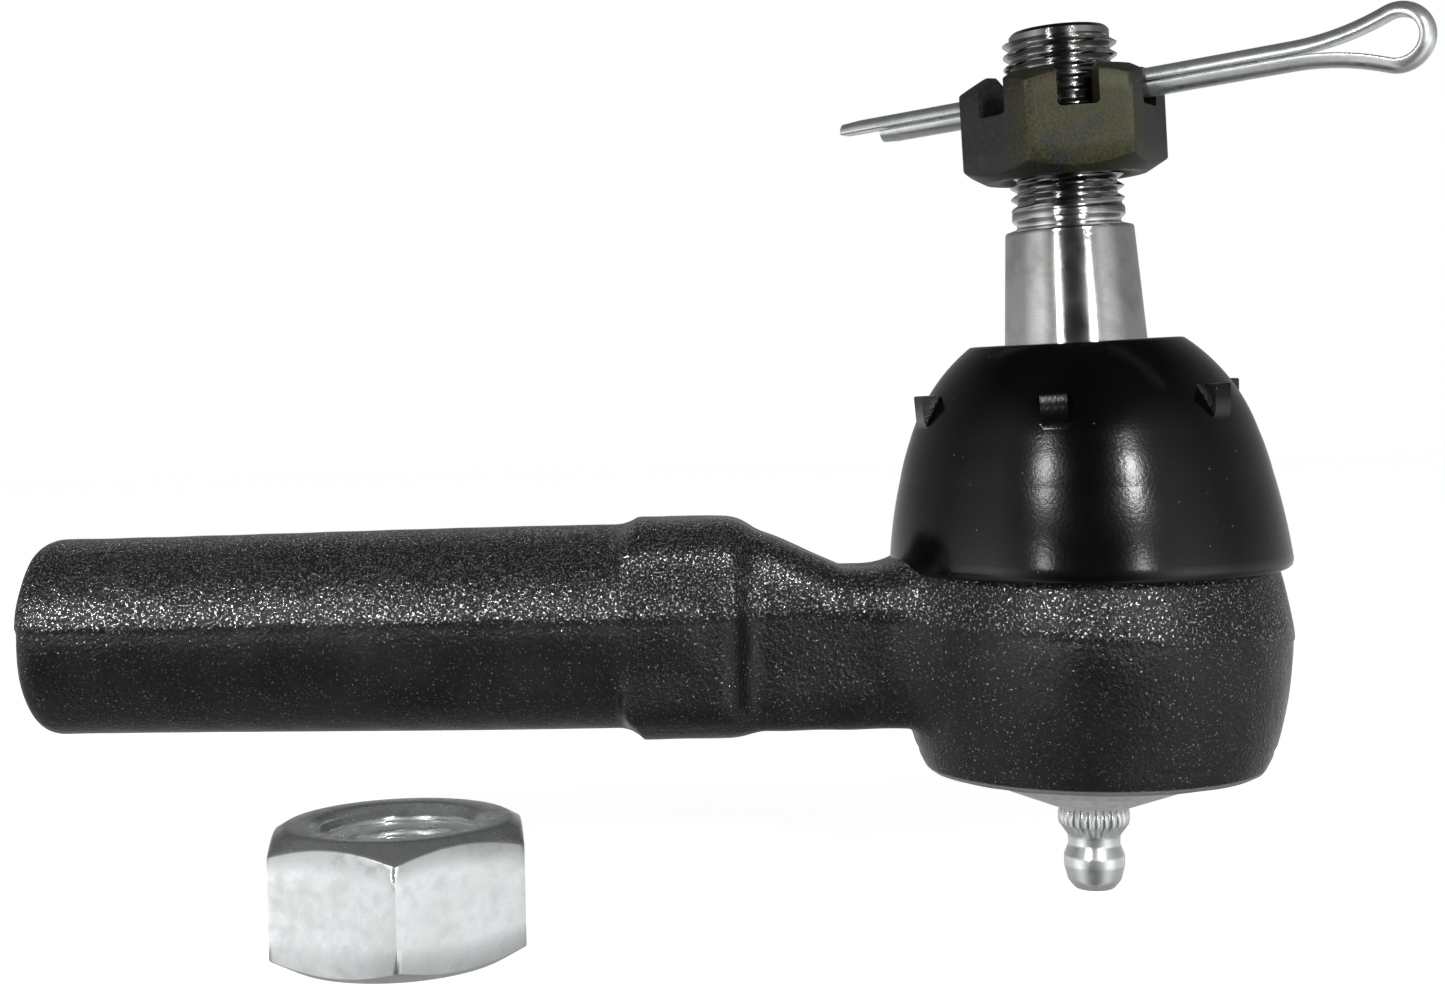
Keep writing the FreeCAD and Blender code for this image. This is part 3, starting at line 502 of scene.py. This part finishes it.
def arm(x, y, z):
    """The arm: flat sides, sloping top, rounded corners."""
    slope = below_line(x, z, (-38.0, 11.2), (-27.2, ARM_LOW))
    top = smooth_max(np.minimum(z - ARM_LOW, slope), z - ARM_HIGH, 2.0)
    section = smooth_max(np.abs(y) - ARM_SIDE, top, 5.0)
    section = smooth_max(section, ARM_FOOT - z, 5.0)
    root_in_head = x + 8.0
    return np.maximum(section, np.maximum(root_in_head, BLOCK[0] + OVERLAP - x))


HEAD_OUTLINE = [
    (18.0, 10.0), (19.65, 6.0), (21.25, -1.5), (21.25, -3.3), (20.0, -13.0), (19.0, -14.7), (18.5, -16.35),
]
GROOVE_RADIUS, GROOVE_HEIGHT, GROOVE_SIZE = 19.7, -14.1, 0.65


def head(x, y, z):
    """The socket head: a convex turned form, its edges softened, with a groove over the crimped lip."""
    around = np.hypot(x, y)
    distance = smooth_max(z - HEAD_OUTLINE[0][1], HEAD_OUTLINE[-1][1] - z, 0.1)
    for start, end in zip(HEAD_OUTLINE[:-1], HEAD_OUTLINE[1:]):
        distance = smooth_max(distance, below_line(around, z, start, end), 0.5)
    groove = GROOVE_SIZE - np.hypot(around - GROOVE_RADIUS, z - GROOVE_HEIGHT)
    return smooth_max(distance, groove, 0.2)


def socket(x, y, z):
    """What is cut out of the head: mouth, bore, cover pocket and the lip's opening."""
    around = np.hypot(x, y)
    mouth = smooth_max(around - 12.0, 6.0 - z, 0.1)
    bore = np.maximum(around - 15.25, np.maximum(z - 6.55, -14.0 - z))
    pocket = np.maximum(around - 17.5, np.maximum(z + 13.55, -15.45 - z))
    opening = np.maximum(around - 16.3, z + 15.0)
    return np.minimum(np.minimum(mouth, bore), np.minimum(pocket, opening))


def rod_bore(x, y, z):
    """The bore for the tie rod, wide enough for its threaded wall, with the drill's point."""
    minor, wide, point_length, point_slope, mouth = ROD_THREAD["minor"], 8.6, 4.2, 1.8, 9.1
    around = np.hypot(y, z)
    straight = np.maximum(around - wide, x - ROD_FOOT + 0.5)
    point = np.maximum(x - ROD_FOOT - point_length, around - minor + (x - ROD_FOOT) * point_slope)
    blind = np.maximum(around - minor, point)
    countersink = around - mouth - (SLEEVE_LEFT - x)
    return np.minimum(np.minimum(straight, blind), countersink)


def forging(x, y, z):
    """Signed distance to the forging, negative inside."""
    body = smooth_min(sleeve(x, y, z), wrench_block(x, y, z), 0.8)
    body = smooth_min(body, arm(x, y, z), 3.0)
    body = smooth_min(body, head(x, y, z), 1.5 + 4.5 * smoothstep(z, -10.5, -5.0))
    step_in, step_out, ripple_height = 0.12, 0.16, 0.03
    above = smoothstep(z - parting_height(x), -0.25, 0.25)
    ripple = np.sin(x * 0.9 + 1.3 * np.sin(y * 0.7)) * np.sin(z * 0.8 + y * 0.5)
    body = body + step_in - step_out * above - ripple_height * ripple
    body = smooth_max(body, -socket(x, y, z), 0.5)
    return smooth_max(body, -rod_bore(x, y, z), 0.6)


def surface_net(distance, low, high, step):
    """Points and faces of the zero surface of a distance function inside a box."""
    axes = [np.arange(a, b + step, step, dtype=np.float32) for a, b in zip(low, high)]
    field = distance(*np.meshgrid(*axes, indexing="ij", sparse=True)).astype(np.float32)
    inside = field < 0
    corners = [(i, j, k) for i in (0, 1) for j in (0, 1) for k in (0, 1)]
    size = [n - 1 for n in field.shape]

    def shifted(array, corner):
        i, j, k = corner
        return array[i:size[0] + i, j:size[1] + j, k:size[2] + k]

    count = sum(shifted(inside, c).astype(np.int8) for c in corners)
    cells = np.argwhere((count > 0) & (count < 8))
    number = np.full(size, -1, np.int32)
    number[tuple(cells.T)] = np.arange(len(cells))
    total, crossings = np.zeros((len(cells), 3)), np.zeros(len(cells))
    for first in corners:
        for axis in range(3):
            if first[axis]:
                continue
            second = tuple(c + (n == axis) for n, c in enumerate(first))
            a = field[tuple((cells + first).T)].astype(float)
            b = field[tuple((cells + second).T)].astype(float)
            crosses = (a < 0) != (b < 0)
            share = np.where(crosses, a / np.where(crosses, a - b, 1), 0)
            point = np.array(first) + share[:, None] * (np.array(second) - np.array(first))
            total += point * crosses[:, None]
            crossings += crosses
    points = (cells + total / crossings[:, None]) * step + np.array([a[0] for a in axes])
    faces = []
    for axis in range(3):
        u, v = (axis + 1) % 3, (axis + 2) % 3
        shape = [slice(None)] * 3
        shape[axis] = slice(0, -1)
        ahead = [slice(None)] * 3
        ahead[axis] = slice(1, None)
        edges = np.argwhere(inside[tuple(shape)] != inside[tuple(ahead)])
        edges = edges[(edges[:, u] > 0) & (edges[:, v] > 0)]
        outward = inside[tuple(edges.T)]
        back_u, back_v = np.eye(3, dtype=int)[u], np.eye(3, dtype=int)[v]
        quad = np.stack([number[tuple((edges - move).T)]
                         for move in (back_u + back_v, back_v, back_u * 0, back_u)], axis=1)
        quad[~outward] = quad[~outward][:, ::-1]
        faces.append(quad)
    return points, np.concatenate(faces)


def settle(distance, points, rounds=2):
    """Move points onto the zero surface along its slope."""
    nudge = 0.02
    for _ in range(rounds):
        x, y, z = points.T
        value = distance(x, y, z)
        slope = np.stack([
            distance(x + nudge, y, z) - distance(x - nudge, y, z),
            distance(x, y + nudge, z) - distance(x, y - nudge, z),
            distance(x, y, z + nudge) - distance(x, y, z - nudge),
        ], axis=1) / (2 * nudge)
        points = points - slope * (value / np.maximum((slope ** 2).sum(1), 0.3))[:, None]
    return points


def make_forging(material):
    """The housing's forging as one closed mesh."""
    low, high = box_mm("housing")
    margin = 1.0
    step = 0.4
    points, faces = surface_net(forging, [c - margin for c in low], [c + margin for c in high], step)
    points = settle(forging, points)
    mesh = bpy.data.meshes.new("housing_forging")
    mesh.from_pydata((points * MM).tolist(), [], faces.tolist())
    return finished("housing_forging", mesh, material, "housing", ["housing"], 60)


def make_rod_thread(material):
    """The threaded wall of the sleeve's bore, a tube with an internal M16 x 1.5 thread."""
    columns = 48 * FINE
    wall = 8.75
    start = -SLEEVE_LEFT - 0.7
    turn = np.linspace(0, 1, columns, endpoint=False)
    along = np.arange(start, -ROD_FOOT, -ROD_THREAD["pitch"] / 10)
    phase = along[:, None] / ROD_THREAD["pitch"] + turn[None, :]
    depth = ROD_THREAD["major"] - ROD_THREAD["minor"]
    inner = ROD_THREAD["minor"] + thread_depth(phase, depth)
    mouth = ROD_THREAD["major"] + 0.4 - (start - along)[:, None]
    inner = np.maximum(inner, mouth)
    outer = np.full((2, columns), wall)
    radii = np.concatenate([inner, outer])
    heights = np.concatenate([np.repeat(along[:, None], columns, 1),
                              np.full((1, columns), along[-1]), np.full((1, columns), along[0])])
    matrix = frame_matrix(Vector((0, 0, 1)), Vector((0, 1, 0)), Vector((-1, 0, 0)))
    mesh = ring_mesh("housing_thread", radii, heights, matrix)
    return finished("housing_thread", mesh, material, "housing", ["housing"])


# ---------------------------------------------------------------- the ball joint's pieces

def stud_body():
    """The stud's outline below its thread: ball, neck, flare, taper and run-out groove."""
    def ball(radius):
        return math.sqrt(BALL_RADIUS ** 2 - radius ** 2)

    foot = (ball(BALL_FOOT), -BALL_FOOT)
    below = [np.array([0, -BALL_FOOT]), np.array(foot)]
    below += arc_outline(foot, (NECK_RADIUS, ball(NECK_RADIUS)), BALL_RADIUS, 1, 40)
    flare = [np.array([NECK_RADIUS, NECK_TOP])]
    flare += arc_outline(flare[-1], (TAPER_RADIUS, TAPER_FOOT), 12.0, -1, 8)
    taper = [np.array([TAPER_RADIUS - (height - TAPER_FOOT) / TAPER_LENGTH_PER_RADIUS, height])
             for height in np.linspace(19.6, 41.6, 8)]
    groove = [np.array(p) for p in (
        (6.79, 41.85), (6.68, 42.02), (5.62, 42.35), (5.5, 42.47), (5.5, 42.72), (5.6, 42.85), (5.7, 42.95))]
    return np.array(below + flare + taper + groove)


def make_stud(material):
    """The ball stud with its real helical thread, domed end and cotter hole."""
    columns = 64 * FINE
    thread = STUD_THREAD
    body = stud_body()
    along = np.arange(thread["start"], thread["top"] + 0.01, thread["pitch"] / 10)
    turn = np.linspace(0, 1, columns, endpoint=False)
    phase = along[:, None] / thread["pitch"] - turn[None, :]
    depth = 0.72 * smoothstep(along, 43.7, 45.2)[:, None]
    crest = thread["radius"] - 0.03
    start_bevel = 5.75 + (along - thread["start"])[:, None]
    end_bevel = crest + (thread["top"] - along)[:, None]
    threaded = np.minimum(crest - thread_depth(phase, depth), np.minimum(start_bevel, end_bevel))
    threaded[-1] = threaded[-1].min()
    dome = np.array([
        (5.25, 62.6), (5.05, 62.85), (4.85, 63.0), (4.5, 63.05), (3.0, 63.31), (1.5, 63.44), (0, 63.48)])
    radii = np.concatenate([
        np.repeat(body[:, :1], columns, 1), threaded, np.repeat(dome[:, :1], columns, 1)])
    heights = np.concatenate([
        np.repeat(body[:, 1:], columns, 1), np.repeat(along[:, None], columns, 1),
        np.repeat(dome[:, 1:], columns, 1)])
    mesh = ring_mesh("stud", radii, heights, STUD_FRAME)
    piece = finished("stud", mesh, material, None, ["ball_stud"])
    raised = STUD_FRAME @ Matrix.Translation((0, 0, COTTER_HEIGHT * MM))
    sideways = Matrix.Rotation(COTTER_TURN, 4, "Z") @ Matrix.Rotation(math.pi / 2, 4, "Y")
    reach = 9.0
    rod = np.array([(0, -reach), (COTTER_HOLE, -reach), (COTTER_HOLE, reach), (0, reach)])
    combine(piece, lathe("drill", rod, 48, raised @ sideways), "DIFFERENCE")
    piece.data.set_sharp_from_angle(angle=math.radians(CRISP))
    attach(piece, "stud")


def make_cover(material):
    """The dished end cover with softened bends."""
    outline = rounded_outline([
        (17.4, -13.65, 0.2), (15.3, -13.65, 1.5), (10.2, -16.4, 1.5), (4.4, -18.6, 0.8), (3.0, -18.6, 0.1),
        (3.0, -20.4, 0.15), (4.4, -20.4, 0.8), (10.2, -18.2, 1.2), (11.0, -17.5, 1.0), (15.3, -15.35, 1.5),
        (17.4, -15.35, 0.2),
    ])
    mesh = lathe("end_cover_plate", outline, 96 * FINE)
    finished("end_cover_plate", mesh, material, "housing", ["end_cover"])


def make_fitting(material):
    """The grease fitting with a fluted collar, rounded head and bored mouth."""
    outline = rounded_outline([
        (0.8, -16.2, 0), (2.95, -16.2, 0.2), (2.95, -20.2, 0), (3.6, -20.42, 0.1), (3.75, -20.9, 0.1),
        (3.85, -21.3, 0), (3.85, -22.0, 0), (3.75, -22.4, 0.2), (2.85, -23.7, 0.8), (2.8, -24.7, 0.8),
        (3.3, -25.9, 0.9), (3.3, -27.0, 1.2), (2.9, -28.6, 1.2), (2.1, -29.55, 0.4), (0.9, -29.55, 0.12),
        (0.9, -29.2, 0), (1.35, -28.7, 0), (1.35, -19.0, 0), (0.8, -19.0, 0),
    ])
    columns = 72 * FINE
    radii = np.repeat(outline[:, :1], columns, axis=1)
    heights = np.repeat(outline[:, 1:], columns, axis=1)
    turn = np.linspace(0, 2 * math.pi, columns, endpoint=False)
    on_collar = (radii > 3.5) & (heights > -22.5)
    flutes, flute_foot, flute_height = 24, 0.18, 0.22
    flute = flute_height * np.abs(np.sin(turn * flutes / 2))[None, :] ** 0.7
    radii = np.where(on_collar, radii - flute_foot + flute, radii)
    mesh = ring_mesh("grease_fitting", radii, heights)
    finished("grease_fitting", mesh, material, "housing", ["grease_fitting_body"])


# ---------------------------------------------------------------- boot

BOOT_LIP = 5.9
BOOT_TOP = 29.9
BOOT_CRISP = 50
SHOULDER_OUTSIDE, SHOULDER_INSIDE = (18.4, 20.0), (16.8, 18.6)
SPLIT_OUTSIDE, SPLIT_INSIDE = (19.75, 15.5), (18.2, 13.6)
TAB = {"count": 6, "first": -109, "half": 1.35, "root": 12.5, "foot": 20.0, "top": 25.05}


def boot_profile():
    """The boot's outline (radius, height): outside from lip to top, inside back to the lip."""
    outer = [np.array([21.25, BOOT_LIP + 0.25]), np.array([21.4, BOOT_LIP + 0.8])]
    outer += arc_outline(outer[-1], SPLIT_OUTSIDE, 60.0, 1, 10)
    outer += arc_outline(SPLIT_OUTSIDE, SHOULDER_OUTSIDE, 30.0, 1, 6)
    outer += arc_outline(SHOULDER_OUTSIDE, (11.65, 29.6), 20.0, 1, 16)
    top = [np.array(p) for p in (
        (11.3, 29.85), (10.9, BOOT_TOP), (9.4, BOOT_TOP), (7.9, BOOT_TOP), (7.66, 29.75))]
    bore = [np.array(p) for p in ((7.64, 28.0), (7.75, 26.0), (7.9, 24.3), (8.3, 24.0))]
    inner = [np.array([10.4, 24.2])]
    inner += arc_outline(inner[-1], SHOULDER_INSIDE, 20.0, -1, 10)
    inner += arc_outline(SHOULDER_INSIDE, SPLIT_INSIDE, 40.0, -1, 6)
    inner += arc_outline(SPLIT_INSIDE, (19.9, BOOT_LIP + 0.6), 70.0, -1, 10)
    inner += [np.array([20.1, BOOT_LIP + 0.2]), np.array([20.6, BOOT_LIP]), np.array([21.0, BOOT_LIP + 0.05])]
    return np.array(outer + top + bore + inner)


def lean_boot(points):
    """Lean the upright boot: its collar follows the stud, and its lip dips 2 degrees at the front."""
    height = points[:, 2]
    share = smoothstep(height, BOOT_LIP + 2, 25.0)
    front = math.radians(2.0) + math.radians(1.0) * share
    aside = math.radians(2.0) * share
    centre = np.outer(height, np.array([UP.x, UP.y]) / UP.z)
    local_x, local_y = points[:, 0], points[:, 1]
    lifted = height + local_y * np.sin(front) + local_x * np.sin(aside)
    return np.stack([local_x + centre[:, 0], local_y + centre[:, 1], lifted], axis=1)


def wedge_tab(angle):
    """A wedge tab on the dome: flat on top, upright in front, running out below."""
    root, foot, top = TAB["root"], TAB["foot"], TAB["top"]
    corners = [(root, foot), (17.2, 20.6), (17.95, 22.4), (18.05, 24.9), (17.9, top), (root, top)]
    points, faces = bar(corners, TAB["half"])
    return mesh_from("tab", points, faces, Matrix.Rotation(math.radians(angle), 4, "Z"))


def make_boot(material):
    """The boot in two pieces that meet in one ring."""
    columns = 96 * FINE
    outline = boot_profile()
    split_outer = int(np.argmin(np.linalg.norm(outline - SPLIT_OUTSIDE, axis=1)))
    split_inner = int(np.argmin(np.linalg.norm(outline - SPLIT_INSIDE, axis=1)))
    parts = {
        "boot_skirt": np.concatenate([outline[:split_outer + 1], outline[split_inner:]]),
        "boot_dome": outline[split_outer:split_inner + 1],
    }
    skirt, dome = (
        finished(name, lathe(name, part, columns), material, None, ["dust_boot"], BOOT_CRISP)
        for name, part in parts.items())
    for number in range(TAB["count"]):
        combine(dome, wedge_tab(TAB["first"] + number * 360 / TAB["count"]), "UNION")
    for piece in (skirt, dome):
        points = np.array([v.co for v in piece.data.vertices]) / MM
        for vertex, place in zip(piece.data.vertices, lean_boot(points)):
            vertex.co = Vector(place) * MM
        piece.data.shade_smooth()
        piece.data.set_sharp_from_angle(angle=math.radians(BOOT_CRISP))
    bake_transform(skirt)
    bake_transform(dome)


# ---------------------------------------------------------------- nuts and cotter pin

def hexagon_radius(turn, flats, corner):
    """Distance from the axis to a hexagon with rounded corners, with a flat across angle 0."""
    third = math.pi / 3
    away = np.abs((turn + third / 2) % third - third / 2)
    half = flats / 2
    centre = (half - corner) / math.cos(third / 2)
    flat = half / np.cos(away)
    offset = third / 2 - away
    inside = np.maximum(corner ** 2 - (centre * np.sin(offset)) ** 2, 0)
    curve = centre * np.cos(offset) + np.sqrt(inside)
    on_corner = away > math.atan((half - corner) * math.tan(third / 2) / half)
    return np.where(on_corner, np.minimum(curve, flat), flat)


def nut_mesh(name, sizes, height, columns, matrix, thread=None, corner=0.35):
    """A hexagon nut standing on Z = 0: chamfered corners, countersinks, and a thread if given.
    Its sizes are the width across flats, the face's radius and, without a thread, the bore's radius."""
    face, bore = sizes["face"], thread["minor"] if thread else sizes["bore"]
    pitch = thread["pitch"] if thread else STUD_THREAD["pitch"]
    turn = np.linspace(0, 2 * math.pi, columns, endpoint=False)
    rim = hexagon_radius(turn, sizes["flats"], corner)
    slope = math.tan(math.radians(30))
    drop = np.maximum(rim - face, 0) * slope
    soft, edge, between = 0.12, 0.05, (0.25, 0.5, 0.75)
    rows = [(face - soft, 0), (face, 0.02)]
    rows += [(face + (rim - face) * share, drop * share) for share in between]
    rows += [(rim - soft, drop - soft * slope), (rim, drop + soft)]
    mirrored = [(radius, height - rise) for radius, rise in rows[::-1]]
    rows += [(rim, drop + (height - 2 * drop) * share) for share in between] + mirrored
    mouth_radius = bore + 1.25
    rows += [(mouth_radius + soft, height), (mouth_radius, height - edge)]
    along = np.arange(height - 2 * edge, edge, -pitch / 10)
    mouth = mouth_radius - np.minimum(along, height - along)
    inner = np.full((len(along), columns), float(bore))
    if thread:
        phase = along[:, None] / pitch + turn[None, :] / (2 * math.pi)
        inner = inner + thread_depth(phase, thread["major"] - thread["minor"])
    inner = np.maximum(inner, mouth[:, None])
    outside = [np.broadcast_to(radius, columns) for radius, _ in rows]
    levels = [np.broadcast_to(rise, columns) for _, rise in rows]
    radii = np.concatenate([np.array(outside), inner, np.full((1, columns), mouth_radius + soft)])
    heights = np.concatenate([
        np.array(levels), np.repeat(along[:, None], columns, 1), np.zeros((1, columns))])
    return ring_mesh(name, radii, heights, matrix)


def make_castle_nut(material):
    """The slotted nut: six slots, one in the middle of each flat."""
    height = CASTLE_NUT["height"]
    raised = STUD_FRAME @ Matrix.Translation((0, 0, CASTLE_NUT["foot"] * MM))
    matrix = raised @ Matrix.Rotation(COTTER_TURN, 4, "Z")
    mesh = nut_mesh("castle_nut", CASTLE_NUT, height, 72 * FINE, matrix)
    piece = finished("slotted_nut", mesh, material, None, ["castle_nut"])
    half, floor, bevel, reach = 2.15, height - 4.3, 0.3, 14.0
    outline = [(-half, height + 1), (-half, floor + bevel), (-half + bevel, floor),
               (half - bevel, floor), (half, floor + bevel), (half, height + 1)]
    points, faces = bar(outline, reach)
    for number in range(3):
        turn = Matrix.Rotation(math.pi / 2 + number * math.pi / 3, 4, "Z")
        combine(piece, mesh_from("slot", points, faces, matrix @ turn), "DIFFERENCE")
    piece.data.set_sharp_from_angle(angle=math.radians(CRISP))
    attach(piece, "stud")


def make_jam_nut(material):
    """The loose jam nut with its internal thread."""
    low, high = box_mm("jam_nut")
    mount = next(m for m in frame["record"]["mounts"] if m["name"] == "jam_nut_thread")
    foot = Vector((mount["pos_m"][0], mount["pos_m"][1], low.z * MM))
    matrix = Matrix.Translation(foot) @ Matrix.Rotation(math.radians(JAM_NUT["turn"]), 4, "Z")
    mesh = nut_mesh("jam_nut", JAM_NUT, high.z - low.z, 96 * FINE, matrix, ROD_THREAD, corner=0.1)
    finished("lock_nut", mesh, material, "jam_nut", ["jam_nut"])


def cotter_path():
    """The wire's flat side in the plane of the bend, as (along, across), and its outward normals."""
    slit, shoulder, eye, centre = 0.1, 26.0, 2.03, 34.3
    long_leg, short_leg = -26.0, -21.1
    back = math.sqrt((shoulder + eye) ** 2 - (shoulder + slit) ** 2)
    share = eye / (shoulder + eye)
    touch = (centre - back * share, (shoulder + slit) * share)
    upper = [np.array([x, slit]) for x in np.linspace(long_leg, centre - back, 24)]
    upper += arc_outline(upper[-1], touch, shoulder, 1, 10)
    loop = arc_outline(touch, (centre + eye, 0), eye, -1, 14)
    half = np.array(upper + loop)
    lower = half[::-1][1:] * np.array([1, -1])
    lower = lower[lower[:, 0] > short_leg + 0.1]
    path = np.concatenate([half, lower, np.array([[short_leg, -slit]])])
    along = np.gradient(path, axis=0)
    along /= np.linalg.norm(along, axis=1)[:, None]
    return path, np.stack([-along[:, 1], along[:, 0]], axis=1)


def make_cotter(material):
    """The cotter pin: half-round wire, both ends cut."""
    path, outward = cotter_path()
    radius, corner = 1.42, 0.34
    back = [(radius * math.cos(a), radius * math.sin(a), 0)
            for a in np.linspace(0.12 * math.pi, 0.88 * math.pi, 15)]
    section = rounded_outline([(-radius, 0.0, corner), (radius, 0.0, corner)] + back, 4)
    count = len(section)
    points = []
    for number, (spot, normal) in enumerate(zip(path, outward)):
        shrink = 0.9 if number in (0, len(path) - 1) else 1.0
        for side, rise in section * shrink:
            points.append((spot[0] + normal[0] * rise, side, spot[1] + normal[1] * rise))
    faces = [list(range(count)), list(range((len(path) - 1) * count, len(path) * count))[::-1]]
    for row in range(len(path) - 1):
        for i in range(count):
            j = (i + 1) % count
            faces.append([row * count + i, row * count + j, (row + 1) * count + j, (row + 1) * count + i])
    along = axis_of("cotter_slide")
    across = UP.cross(along).normalized()
    origin = Vector(UP) * (COTTER_HEIGHT * MM)
    mesh = mesh_from("cotter", points, faces, frame_matrix(along, across, along.cross(across), origin))
    finished("split_pin", mesh, material, "cotter", ["cotter_pin"], 45)


# ---------------------------------------------------------------- floor, light and camera

def area_light(name, size, place, energy):
    """A soft rectangular light that faces the ball's centre; sizes and places in metres."""
    light = bpy.data.lights.new(name, "AREA")
    light.shape = "RECTANGLE"
    light.size, light.size_y = size
    light.energy = energy
    holder = bpy.data.objects.new(name, light)
    bpy.context.scene.collection.objects.link(holder)
    holder.location = place
    holder.rotation_mode = "QUATERNION"
    holder.rotation_quaternion = (-Vector(place)).to_track_quat("-Z", "Y")
    return holder


FRONT = Vector((-0.19, -0.98, 0.0)).normalized()


def make_world():
    """White surroundings to the camera only. What the object reflects is dark in front and overhead,
    palest to either side of the front and just below level, and grey behind."""
    world = bpy.data.worlds.new("studio")
    world.use_nodes = True
    tree = world.node_tree

    def add(kind, inputs=None, **settings):
        return add_node(tree, kind, inputs, **settings)

    def curve(value, stops):
        node = add("ShaderNodeValToRGB", {0: value})
        ramp = node.color_ramp
        for place, brightness in stops[1:-1]:
            ramp.elements.new(place).color = grey(brightness)
        ramp.elements[0].position, ramp.elements[0].color = stops[0][0], grey(stops[0][1])
        ramp.elements[-1].position, ramp.elements[-1].color = stops[-1][0], grey(stops[-1][1])
        return node.outputs[0]

    way = add("ShaderNodeTexCoord").outputs["Generated"]
    flat = add("ShaderNodeVectorMath", {0: way, 1: (1, 1, 0)}, operation="MULTIPLY").outputs[0]
    level = add("ShaderNodeVectorMath", {0: flat}, operation="NORMALIZE").outputs[0]
    facing = add("ShaderNodeVectorMath", {0: level, 1: FRONT}, operation="DOT_PRODUCT").outputs["Value"]
    height = add("ShaderNodeSeparateXYZ", {0: way}).outputs["Z"]
    around = add("ShaderNodeMapRange", {"Value": facing, "From Min": -1.0, "From Max": 1.0}).outputs[0]
    above = add("ShaderNodeMapRange", {"Value": height, "From Min": -1.0, "From Max": 1.0}).outputs[0]
    sides = curve(around, [
        (0.0, 0.3), (0.5, 0.3), (0.68, 0.6), (0.8, 0.75), (0.9, 0.3), (0.97, 0.03), (1.0, 0.02)])
    rise = curve(above, [
        (0.0, 0.8), (0.3, 1.4), (0.42, 2.6), (0.5, 1.7), (0.56, 1.0), (0.8, 0.4), (0.9, 0.06), (1.0, 0.04)])
    product = add("ShaderNodeVectorMath", {0: sides, 1: rise}, operation="MULTIPLY").outputs[0]
    seen = add("ShaderNodeLightPath").outputs["Is Camera Ray"]
    mixed = add("ShaderNodeMix", {0: seen, 6: product, 7: grey(1.0)}, data_type="RGBA").outputs[2]
    tree.links.new(mixed, tree.nodes["Background"].inputs["Color"])
    bpy.context.scene.world = world


def make_floor():
    """A plain pale floor at the jam nut's foot. The object neither reflects it nor is lit by it."""
    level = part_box("jam_nut")[0].z
    reach = 6.0
    points = [(-reach, -reach, level), (reach, -reach, level), (reach, reach, level), (-reach, reach, level)]
    mesh = bpy.data.meshes.new("floor")
    mesh.from_pydata(points, [], [[0, 1, 2, 3]])
    look = Look("floor_white", Roughness=0.9, Base_Color=grey(0.8))
    look.shader.inputs["Emission Color"].default_value = grey(1.0)
    look.shader.inputs["Emission Strength"].default_value = 0.9
    floor = bpy.data.objects.new("floor", mesh)
    mesh.materials.append(look.material)
    bpy.context.scene.collection.objects.link(floor)
    floor.visible_diffuse = False
    floor.visible_glossy = False


def around_object(azimuth, elevation, distance=1.0):
    """A place seen from the ball's centre; azimuth 0 is +X and -90 is the front."""
    level = distance * math.cos(math.radians(elevation))
    turn = math.radians(azimuth)
    return (level * math.cos(turn), level * math.sin(turn), distance * math.sin(math.radians(elevation)))


def make_lights():
    """Upright soft lights in front, on both sides of the camera, each in a high and a low part."""
    for name, azimuth, strength in (("left", -125, 0.8), ("right", -71, 1.1)):
        area_light(f"high_{name}", (0.08, 0.20), around_object(azimuth, 25), 2.6 * strength)
        area_light(f"low_{name}", (0.05, 0.11), around_object(azimuth, 3), 0.7 * strength)


def light_forging(forging_pieces):
    """Two broad soft lights that only reach the forging, to bring out its black grain."""
    lit = bpy.data.collections.new("forging")
    for piece in forging_pieces:
        lit.objects.link(piece)
    key = area_light("key", (1.1, 0.5), around_object(-98, 27), 1.2)
    rim = area_light("rim", (1.3, 0.4), around_object(90, 36), 0.6)
    for light in (key, rim):
        light.light_linking.receiver_collection = lit


def make_camera():
    """A close view from the front, tipped down and rolled a little."""
    camera = bpy.data.cameras.new("camera")
    camera.lens, camera.sensor_width = 44.84, 36.0
    camera.clip_start, camera.clip_end = 0.01, 20.0
    holder = bpy.data.objects.new("camera", camera)
    bpy.context.scene.collection.objects.link(holder)
    holder.location = (-0.0399, -0.1957, 0.0190)
    pitch, roll = math.radians(-1.48), math.radians(-1.1)
    tilt = Matrix.Rotation(math.pi / 2 + pitch, 4, "X")
    holder.rotation_euler = (tilt @ Matrix.Rotation(roll, 4, "Z")).to_euler()
    bpy.context.scene.camera = holder


# ---------------------------------------------------------------- build

make_world()
make_floor()
make_lights()
make_camera()

forging_paint, rubber, polished = forging_look(), rubber_look(), polished_steel_look()
phosphate, zinc, plain, spring, polymer = (
    phosphate_look(), zinc_look(), pressed_steel_look(), spring_steel_look(), polymer_look())

light_forging([make_forging(forging_paint), make_rod_thread(forging_paint)])
make_stud(polished)
make_cover(plain)
make_fitting(zinc)
make_boot(rubber)
make_castle_nut(phosphate)
make_cotter(zinc)
make_jam_nut(zinc)

INNER = {
    "bearing_liner": polymer, "upper_ball_seat": plain, "lower_ball_seat": plain,
    "preload_spring": spring, "grease_fitting_ball": plain, "grease_fitting_spring": spring,
}
for node, material in INNER.items():
    frame["nodes"][node].data.materials.clear()
    frame["nodes"][node].data.materials.append(material)

bpy.context.scene.view_settings.view_transform = "Standard"
